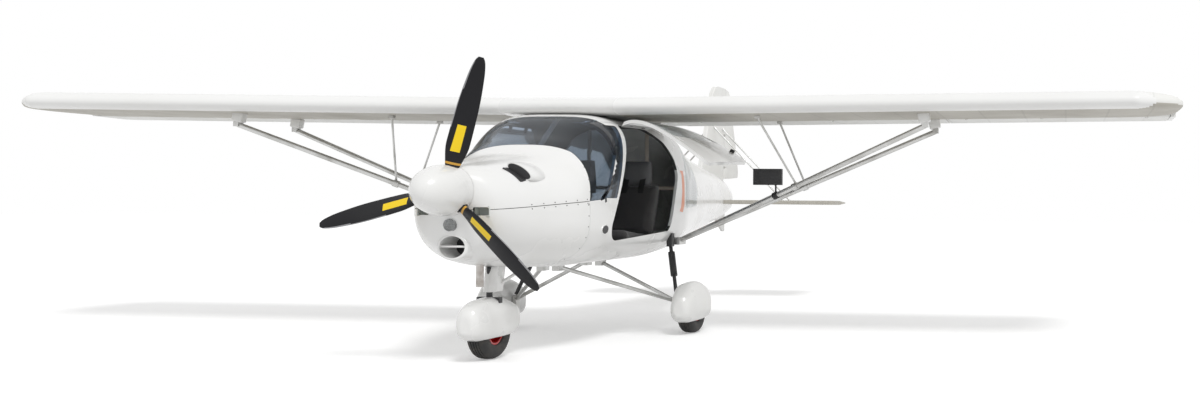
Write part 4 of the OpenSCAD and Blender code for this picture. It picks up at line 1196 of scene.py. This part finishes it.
    def close(self, bm: bmesh.types.BMesh, rim: list[bmesh.types.BMEdge]) -> None:
        """Closes the skin along the rear spar and at both ends."""
        tops = [e for e in rim if all(abs(v.co.y - at(0, self.wing_station + self.rear_cut, 0).y) < 2e-4
                                      for v in e.verts)]
        bmesh.ops.bridge_loops(bm, edges=tops)
        fill_ends(bm)

    def trailing_blocks(self, bm: bmesh.types.BMesh, side: Side) -> None:
        """Adds the fixed trailing edge at the root and at the tip.

        Args:
            bm: Mesh to add to.
            side: Side of the wing.
        """
        for x0, x1 in ((self.root + 1, 554.0), (self.half_span - 40, self.half_span)):
            corners = [self.place(x0, c, z) for c, z in ((957, 69), (1294, 20), (1294, 10), (957, 15))]
            ends = [self.place(x1, c, z) for c, z in ((957, 69), (1294, 20), (1294, 10), (957, 15))]
            flip = Matrix.Diagonal((side.value, 1.0, 1.0, 1.0))
            face = bm.faces.new([bm.verts.new(flip @ v) for v in corners])
            shift = flip @ (ends[0] - corners[0])
            moved = bmesh.ops.extrude_face_region(bm, geom=[face])["geom"]
            bmesh.ops.translate(bm, vec=shift, verts=[v for v in moved if isinstance(v, bmesh.types.BMVert)])

    def fittings(self, side: Side) -> None:
        """Adds the white fairings where the struts meet the wing.

        Args:
            side: Side of the wing.
        """
        bm = bmesh.new()
        flip = Matrix.Diagonal((side.value, 1.0, 1.0, 1.0))
        for chordwise in (270.0, 920.0):
            add_block(bm, self.place(self.strut_x - 8, chordwise, -26), (0.09, 0.064, 0.082), about_y(-12))
        bmesh.ops.transform(bm, verts=bm.verts, matrix=flip)
        round_edges(bm, list(bm.edges), 0.012)
        bmesh.ops.recalc_face_normals(bm, faces=bm.faces)
        finish_object(f"strut_fairings_{side.word}", bm, [WHITE])


# ---------- Propeller ----------
@dataclass
class Propeller:
    """Spinner and three twisted blades."""

    hub: float = 1120.0
    radius: float = 860.0
    first_angle: float = 15.0
    blades: int = 3
    rows: tuple[tuple[float, float, float, float], ...] = (
        (0.135, 62, 56, 46), (0.20, 92, 36, 42), (0.35, 135, 22, 33), (0.60, 130, 15, 24), (0.85, 100, 10, 18),
        (0.97, 62, 6, 16.5), (1.0, 30, 4, 16))

    def build(self) -> None:
        """Builds the spinner, the blades and their metal edges."""
        bm = bmesh.new()
        profile = [(160, -38), (160, 20)] + [
            (160 * math.cos(a), 20 + 260 * math.sin(a)) for a in (math.pi / 2 * k / 28 for k in range(1, 29))]
        verts = [bm.verts.new((max(r, 0.0) * MM, (-z - ORIGIN_STATION) * MM, self.hub * MM)) for r, z in profile]
        edges = [bm.edges.new(pair) for pair in zip(verts, verts[1:])]
        bmesh.ops.spin(bm, geom=verts + edges, cent=(0, 0, self.hub * MM), axis=(0, 1, 0), dvec=(0, 0, 0),
                       angle=2 * math.pi, steps=96, use_merge=True)
        bmesh.ops.remove_doubles(bm, verts=bm.verts, dist=1e-5)
        fill_ends(bm)
        bmesh.ops.recalc_face_normals(bm, faces=bm.faces)
        obj = finish_object("spinner_shell", bm, [WHITE], "propeller", ("spinner",), 40)
        holes = bmesh.new()
        for k in range(self.blades):
            turn = math.radians(self.first_angle + k * 360 / self.blades)
            away = Vector((math.sin(turn), 0, math.cos(turn)))
            start = at(0, 0, self.hub)
            tube(holes, start + away * 0.09, start + away * 0.20, 0.037, segments=32)
        carve(obj, [(holes, Cut.REMOVE)])
        reshade(obj, 40)
        self.blade_set()

    def blade_set(self) -> None:
        """Builds the blades with the strips on their leading edges."""
        bm = bmesh.new()
        shares = [row[0] for row in self.rows]
        for k in range(self.blades):
            turn = math.radians(self.first_angle + k * 360 / self.blades)
            frame_turn = Matrix.Translation(at(0, 0, self.hub)) @ Matrix.Rotation(turn, 4, "Y")
            made = bmesh.ops.create_grid(bm, x_segments=32, y_segments=48, size=0.5)["verts"]
            inside = set(made)
            for v in made:
                u, t = v.co.x + 0.5, v.co.y + 0.5
                share = shares[0] + (shares[-1] - shares[0]) * t
                chord, thick, pitch = (smooth_through(shares, [r[c] for r in self.rows], share) for c in (1, 2, 3))
                a = 2 * math.pi * u
                across, depth = chord / 2 * math.cos(a), thick / 2 * math.sin(a)
                if share > 0.18:
                    depth *= 1 - 0.45 * math.cos(a) * min(1.0, (share - 0.18) * 8)
                p = math.radians(pitch)
                local = Vector((across * math.cos(p) - depth * math.sin(p),
                                across * math.sin(p) + depth * math.cos(p), share * self.radius)) * MM
                v.co = frame_turn @ local
            for f in bm.faces:
                if not inside.issuperset(f.verts):
                    continue
                c = frame_turn.inverted() @ f.calc_center_median()
                share = c.z / (self.radius * MM)
                chord = smooth_through(shares, [r[1] for r in self.rows], share) * MM
                f.material_index = 1 if share > 0.46 and c.x < -0.40 * chord else 0
        bmesh.ops.remove_doubles(bm, verts=bm.verts, dist=1e-5)
        fill_ends(bm)
        bmesh.ops.recalc_face_normals(bm, faces=bm.faces)
        finish_object("blade_set", bm, [BLADE, STRIP], "propeller", ("propeller_blades",), 50)


# ---------- Undercarriage ----------
@dataclass
class Undercarriage:
    """Wheels with treaded tyres and spats."""

    tyre_r: float = 190.0
    tyre_w: float = 130.0
    spat_half: float = 100.0

    def tyre(self, name: str, x: float, station: float, body: str, node: str) -> None:
        """Builds a tyre with grooves by spinning its section.

        Args:
            name: Name of the piece.
            x: Its middle, in millimetres to port.
            station: Its axle's station.
            body: The wheel's body.
            node: The CAD node that it stands for.
        """
        half = self.tyre_w / 2
        section = [(95, -47), (103, -56), (125, -63), (150, -65), (168, -61), (180, -50), (186, -38)]
        section += [(188, -30), (183, -28), (183, -25), (188, -23), (189.5, -12), (184, -10), (184, -7), (190, -5)]
        outline = section + [(r, -w) for r, w in reversed(section)]
        bm = bmesh.new()
        middle = at(x, station, self.tyre_r)
        verts = [bm.verts.new(middle + Vector((w * half / 65.0 * MM, 0, r * MM))) for r, w in outline]
        edges = [bm.edges.new(pair) for pair in zip(verts, verts[1:] + verts[:1])]
        bmesh.ops.spin(bm, geom=verts + edges, cent=middle, axis=(1, 0, 0), dvec=(0, 0, 0), angle=2 * math.pi,
                       steps=96, use_merge=True)
        bmesh.ops.recalc_face_normals(bm, faces=bm.faces)
        finish_object(name, bm, [RUBBER], body, (node,), 30)

    def spat_form(self, x: float, station: float, low: float) -> Form:
        """Form of one spat.

        Args:
            x: The wheel's middle across the aircraft, in millimetres.
            station: The axle's station, in millimetres.
            low: The spat's lowest height, in millimetres.

        Returns:
            The form.
        """
        half, high = self.spat_half, self.tyre_r * 2 + 36
        return Form((
            (station - 300, half * 0.30, low + 70, low + 115, low + 160, 2, 2),
            (station - 285, half * 0.58, low + 42, low + 115, low + 200, 2.2, 2.1),
            (station - 255, half * 0.80, low + 20, low + 115, low + 235, 2.6, 2.3),
            (station - 150, half * 0.98, low, low + 120, high - 12, 3.4, 2.7),
            (station + 20, half, low, low + 120, high, 3.6, 2.7),
            (station + 205, half * 0.9, low + 8, low + 120, high - 45, 3.2, 2.5),
            (station + 330, half * 0.40, low + 60, low + 117, low + 185, 2.3, 2.1),
            (station + 350, half * 0.14, low + 85, low + 115, low + 145, 2, 2)), x)

    def spat(self, name: str, x: float, station: float, low: float, body: str,
             replaces: tuple[str, ...]) -> None:
        """Builds one thin-walled spat.

        Args:
            name: Name of the piece.
            x: Its middle, in millimetres to port.
            station: The axle's station.
            low: Height of its lower edge.
            body: The body that it rides on.
            replaces: CAD nodes that it stands for.
        """
        form = self.spat_form(x, station, low)
        obj = finish_object(name, form.solid(station - 300, station + 350, 60, 96), [WHITE], body, replaces)
        made = form.solid(station - 299, station + 349, 60, 96)
        middle = at(x, station, low + 120)
        bmesh.ops.transform(made, verts=made.verts, matrix=Matrix.Translation(middle)
                            @ Matrix.Diagonal((0.94, 0.97, 0.965, 1.0)) @ Matrix.Translation(-middle))
        mouth = block(at(x, station, low - 46), (0.152, 0.40, 0.12))
        round_edges(mouth, [e for e in mouth.edges if abs(e.verts[0].co.z - e.verts[1].co.z) > 0.05], 0.05, 6)
        carve(obj, [(made, Cut.REMOVE), (mouth, Cut.REMOVE)])
        reshade(obj, 35)

    def build(self) -> None:
        """Builds all the wheels and spats."""
        self.tyre("nose_tyre_rubber", 0, 520, "nose_wheel", "nose_tyre")
        self.tyre("port_tyre_rubber", 810, 2150, "port_wheel", "main_tyre_port")
        self.tyre("starboard_tyre_rubber", -810, 2150, "starboard_wheel", "main_tyre_starboard")
        self.spat("nose_spat_shell", 0, 520, 135, "nose_gear", ("nose_spat",))
        self.spat("port_spat_shell", 810, 2150, 95, AIRFRAME, ("main_spats",))
        self.spat("starboard_spat_shell", -810, 2150, 95, AIRFRAME, ("main_spats",))


# ---------- Cabin ----------
@dataclass
class Seats:
    """Two padded seats with harnesses."""

    middle: float = 285.0
    width: float = 430.0
    fill: float = 0.7
    swell_cap: float = 0.012

    def cushion(self, name: str, side: Side, outline: list[tuple[float, float]], finish: Finish,
                width: float, rounding: float) -> bpy.types.Object:
        """Makes one pad, swollen by a cloth simulation.

        Args:
            name: Name of the piece.
            side: Which seat.
            outline: Side outline in stations and heights.
            finish: Its cloth.
            width: Its width in millimetres.
            rounding: Radius of its edges in millimetres.

        Returns:
            The pad.
        """
        x = side.value * self.middle
        bm = side_prism(outline, x - width / 2, x + width / 2)
        round_edges(bm, list(bm.edges), rounding * MM, 4, clamp=True)
        obj = finish_object(name, bm, [finish], smooth=180)
        remesh = obj.modifiers.new("voxels", "REMESH")
        remesh.mode = "VOXEL"
        remesh.voxel_size = 0.012
        settle(obj)
        self.swell(obj)
        rounded = obj.modifiers.new("soften", "SMOOTH")
        rounded.iterations = 4
        settle(obj)
        obj.data.materials.clear()
        obj.data.materials.append(finish.make())
        reshade(obj, 180)
        return obj

    def swell(self, obj: bpy.types.Object) -> None:
        """Inflates a pad with the cloth simulation and caps how far it moves.

        Args:
            obj: The pad.
        """
        rest = [v.co.copy() for v in obj.data.vertices]
        cloth = obj.modifiers.new("pad", "CLOTH")
        cloth.settings.use_pressure = True
        cloth.settings.uniform_pressure_force = 4.0
        cloth.settings.effector_weights.gravity = 0.0
        scene = bpy.context.scene
        for step in range(1, 13):
            scene.frame_set(step)
        settle(obj)
        scene.frame_set(1)
        for v, start in zip(obj.data.vertices, rest):
            move = v.co - start
            if move.length > self.swell_cap:
                v.co = start + move.normalized() * self.swell_cap

    def build(self) -> None:
        """Builds both seats."""
        for side in Side:
            word = side.word
            base = self.cushion(f"seat_base_{word}", side, [(1570, 742), (1552, 800), (1577, 836), (1975, 792),
                                                            (2010, 802), (2060, 742)], CLOTH, self.width, 22)
            back = self.cushion(f"seat_back_{word}", side, [(2020, 815), (2236, 1205), (2320, 1205), (2150, 720),
                                                            (2050, 720)], CLOTH, self.width - 20, 26)
            head = self.cushion(f"seat_head_{word}", side, [(2238, 1190), (2262, 1400), (2318, 1400), (2322, 1190)],
                                CLOTH_PALE, self.width - 190, 22)
            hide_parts(f"seat_{word}")
            self.harness(side)

    def harness(self, side: Side) -> None:
        """Adds two shoulder straps and a lap strap.

        Args:
            side: Side of the seat.
        """
        bm = bmesh.new()
        x = side.value * self.middle
        for dx in (-70, 70):
            self.strap(bm, [at(x + dx, 2285, 1300), at(x + dx, 2232, 1240), at(x + dx, 2130, 1010),
                            at(x + dx * 0.8, 2035, 850), at(x + dx * 0.5, 1990, 815)])
        self.strap(bm, [at(x - 200, 2020, 800), at(x - 100, 1975, 822), at(x, 1955, 828), at(x + 100, 1975, 822),
                        at(x + 200, 2020, 800)])
        add_block(bm, at(x, 1950, 832), (0.06, 0.05, 0.014))
        finish_object(f"harness_{side.word}", bm, [WEBBING])

    def strap(self, bm: bmesh.types.BMesh, points: list[Vector]) -> None:
        """Adds flat webbing through points.

        Args:
            bm: Mesh to add to.
            points: The points, in metres.
        """
        for a, b in zip(points, points[1:]):
            run = (b - a).normalized()
            across = Vector((1, 0, 0)) if abs(run.x) < 0.7 else Vector((0, 0.3, 1)).normalized()
            up = run.cross(across).normalized()
            across = up.cross(run).normalized()
            turn = Matrix((across, run, up)).transposed().to_4x4()
            add_block(bm, (a + b) / 2, (0.045, (b - a).length + 0.004, 0.004), turn)


# ---------- CAD nodes that keep their shape ----------
NODE_FINISHES: dict[str, Finish] = {
    "propeller_hub": ALLOY, "engine_block": ENGINE, "exhaust_pipe": STEEL, "landing_light": LENS, "firewall": STEEL,
    "instrument_panel": PLASTIC, "cabin_tubes": TUBE, "flap_port": FABRIC_TOP, "flap_starboard": FABRIC_TOP,
    "aileron_port": FABRIC_TOP, "aileron_starboard": FABRIC_TOP, "lift_struts": ALLOY, "jury_struts": ALLOY,
    # The stabilizer and elevator take the darker fabric, as painted shade.
    "strut_mirror": PLASTIC, "stabilizer": FABRIC_PAINTED_SHADE, "elevator": FABRIC_PAINTED_SHADE, "fin": FABRIC_TOP,
    "rudder": FABRIC_TOP, "tail_braces": ALLOY, "nose_leg": WHITE, "nose_fork": BLACK, "nose_rim": RED,
    "main_legs": ALLOY, "shock_struts": BLACK, "main_rim_port": RED, "main_rim_starboard": RED,
    "roof_fairing": WHITE,
}


def dress_nodes() -> None:
    """Gives every CAD node that is still shown its finish."""
    for name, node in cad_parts.items():
        finish = NODE_FINISHES.get(name, WHITE)
        node.data.materials.clear()
        node.data.materials.append(finish.make())


# ---------- Stage ----------
@dataclass
class Stage:
    """Floor, light and camera."""

    place: Vector = field(default_factory=lambda: Vector((3.849, -9.158, 1.054)))
    yaw: float = 5.04
    pitch: float = 0.29
    roll: float = 0.46
    lens: float = 32.05
    shift: float = -0.31

    def build(self) -> None:
        """Builds the floor, the lamps, the world and the camera."""
        self.floor()
        self.world()
        self.lamps()
        self.camera()

    def seen_directly(self, t: Tree) -> bpy.types.NodeSocket:
        """1 for camera, mirror and glass rays, 0 for the light that falls on things.

        Args:
            t: The tree to add to.

        Returns:
            The socket with the value.
        """
        path = t.add("LightPath")
        total = t.math("ADD", path.outputs["Is Camera Ray"], path.outputs["Is Glossy Ray"])
        node = t.add("Math", operation="ADD", use_clamp=True)
        t.link(total, node.inputs[0])
        t.link(path.outputs["Is Transmission Ray"], node.inputs[1])
        return node.outputs[0]

    def floor(self) -> None:
        """A pale floor that keeps the shadow."""
        bm = bmesh.new()
        bmesh.ops.create_grid(bm, x_segments=1, y_segments=1, size=60.0)
        mesh = bpy.data.meshes.new("floor")
        bm.to_mesh(mesh)
        bm.free()
        obj = bpy.data.objects.new("floor", mesh)
        obj.location.z = -0.0005
        bpy.context.scene.collection.objects.link(obj)
        material = bpy.data.materials.new("pale_floor")
        material.use_nodes = True
        material.node_tree.nodes.clear()
        t = Tree(material.node_tree)
        out, diffuse = t.add("OutputMaterial"), t.add("BsdfDiffuse")
        glow, both = t.add("Emission"), t.add("AddShader")
        diffuse.inputs["Color"].default_value = (0.80, 0.80, 0.80, 1.0)
        t.link(t.math("MULTIPLY", self.seen_directly(t), 0.30), glow.inputs["Strength"])
        t.link(diffuse.outputs[0], both.inputs[0])
        t.link(glow.outputs[0], both.inputs[1])
        t.link(both.outputs[0], out.inputs[0])
        mesh.materials.append(material)

    def world(self) -> None:
        """White where it is seen, softer where it lights."""
        world = bpy.data.worlds.new("soft_sky")
        world.use_nodes = True
        world.node_tree.nodes.clear()
        t = Tree(world.node_tree)
        out, back = t.add("OutputWorld"), t.add("Background")
        back.inputs["Color"].default_value = (1.0, 1.0, 1.0, 1.0)
        strength = t.math("ADD", t.math("MULTIPLY", self.seen_directly(t), 0.32), 0.68)
        t.link(strength, back.inputs["Strength"])
        t.link(back.outputs[0], out.inputs[0])
        bpy.context.scene.world = world

    def lamps(self) -> None:
        """One soft sun from the upper left."""
        sun = bpy.data.lights.new("soft_sun", "SUN")
        sun.energy = 1.5
        sun.angle = math.radians(14)
        obj = bpy.data.objects.new("soft_sun", sun)
        obj.rotation_euler = (math.radians(38), math.radians(14), math.radians(20))
        bpy.context.scene.collection.objects.link(obj)

    def camera(self) -> None:
        """Places the camera low in front, to port."""
        data = bpy.data.cameras.new("camera")
        data.lens = self.lens
        data.sensor_width = 36.0
        data.shift_x = self.shift
        data.clip_end = 200.0
        obj = bpy.data.objects.new("camera", data)
        yaw, pitch = math.radians(self.yaw), math.radians(self.pitch)
        away = Vector((-math.sin(yaw) * math.cos(pitch), math.cos(yaw) * math.cos(pitch), math.sin(pitch)))
        obj.matrix_world = (Matrix.Translation(self.place) @ away.to_track_quat("-Z", "Y").to_matrix().to_4x4()
                            @ Matrix.Rotation(math.radians(self.roll), 4, "Z"))
        bpy.context.scene.collection.objects.link(obj)
        bpy.context.scene.camera = obj


def main() -> None:
    """Builds every piece in order."""
    logging.basicConfig(level=logging.INFO)
    bpy.context.scene.view_settings.view_transform = "Standard"
    dress_nodes()
    Stage().build()
    Fuselage().build()
    Wing().build()
    Propeller().build()
    Undercarriage().build()
    Seats().build()
    softened("strut_mirror", "mirror_housing", [PLASTIC], width=0.012, segments=4)
    for node, body in (("stabilizer", AIRFRAME), ("fin", AIRFRAME), ("elevator", "elevator_pair"),
                       ("rudder", "rudder_blade")):
        softened(node, f"{node}_covering", [NODE_FINISHES[node]], body, width=0.006)


if __name__ == "__main__":
    main()
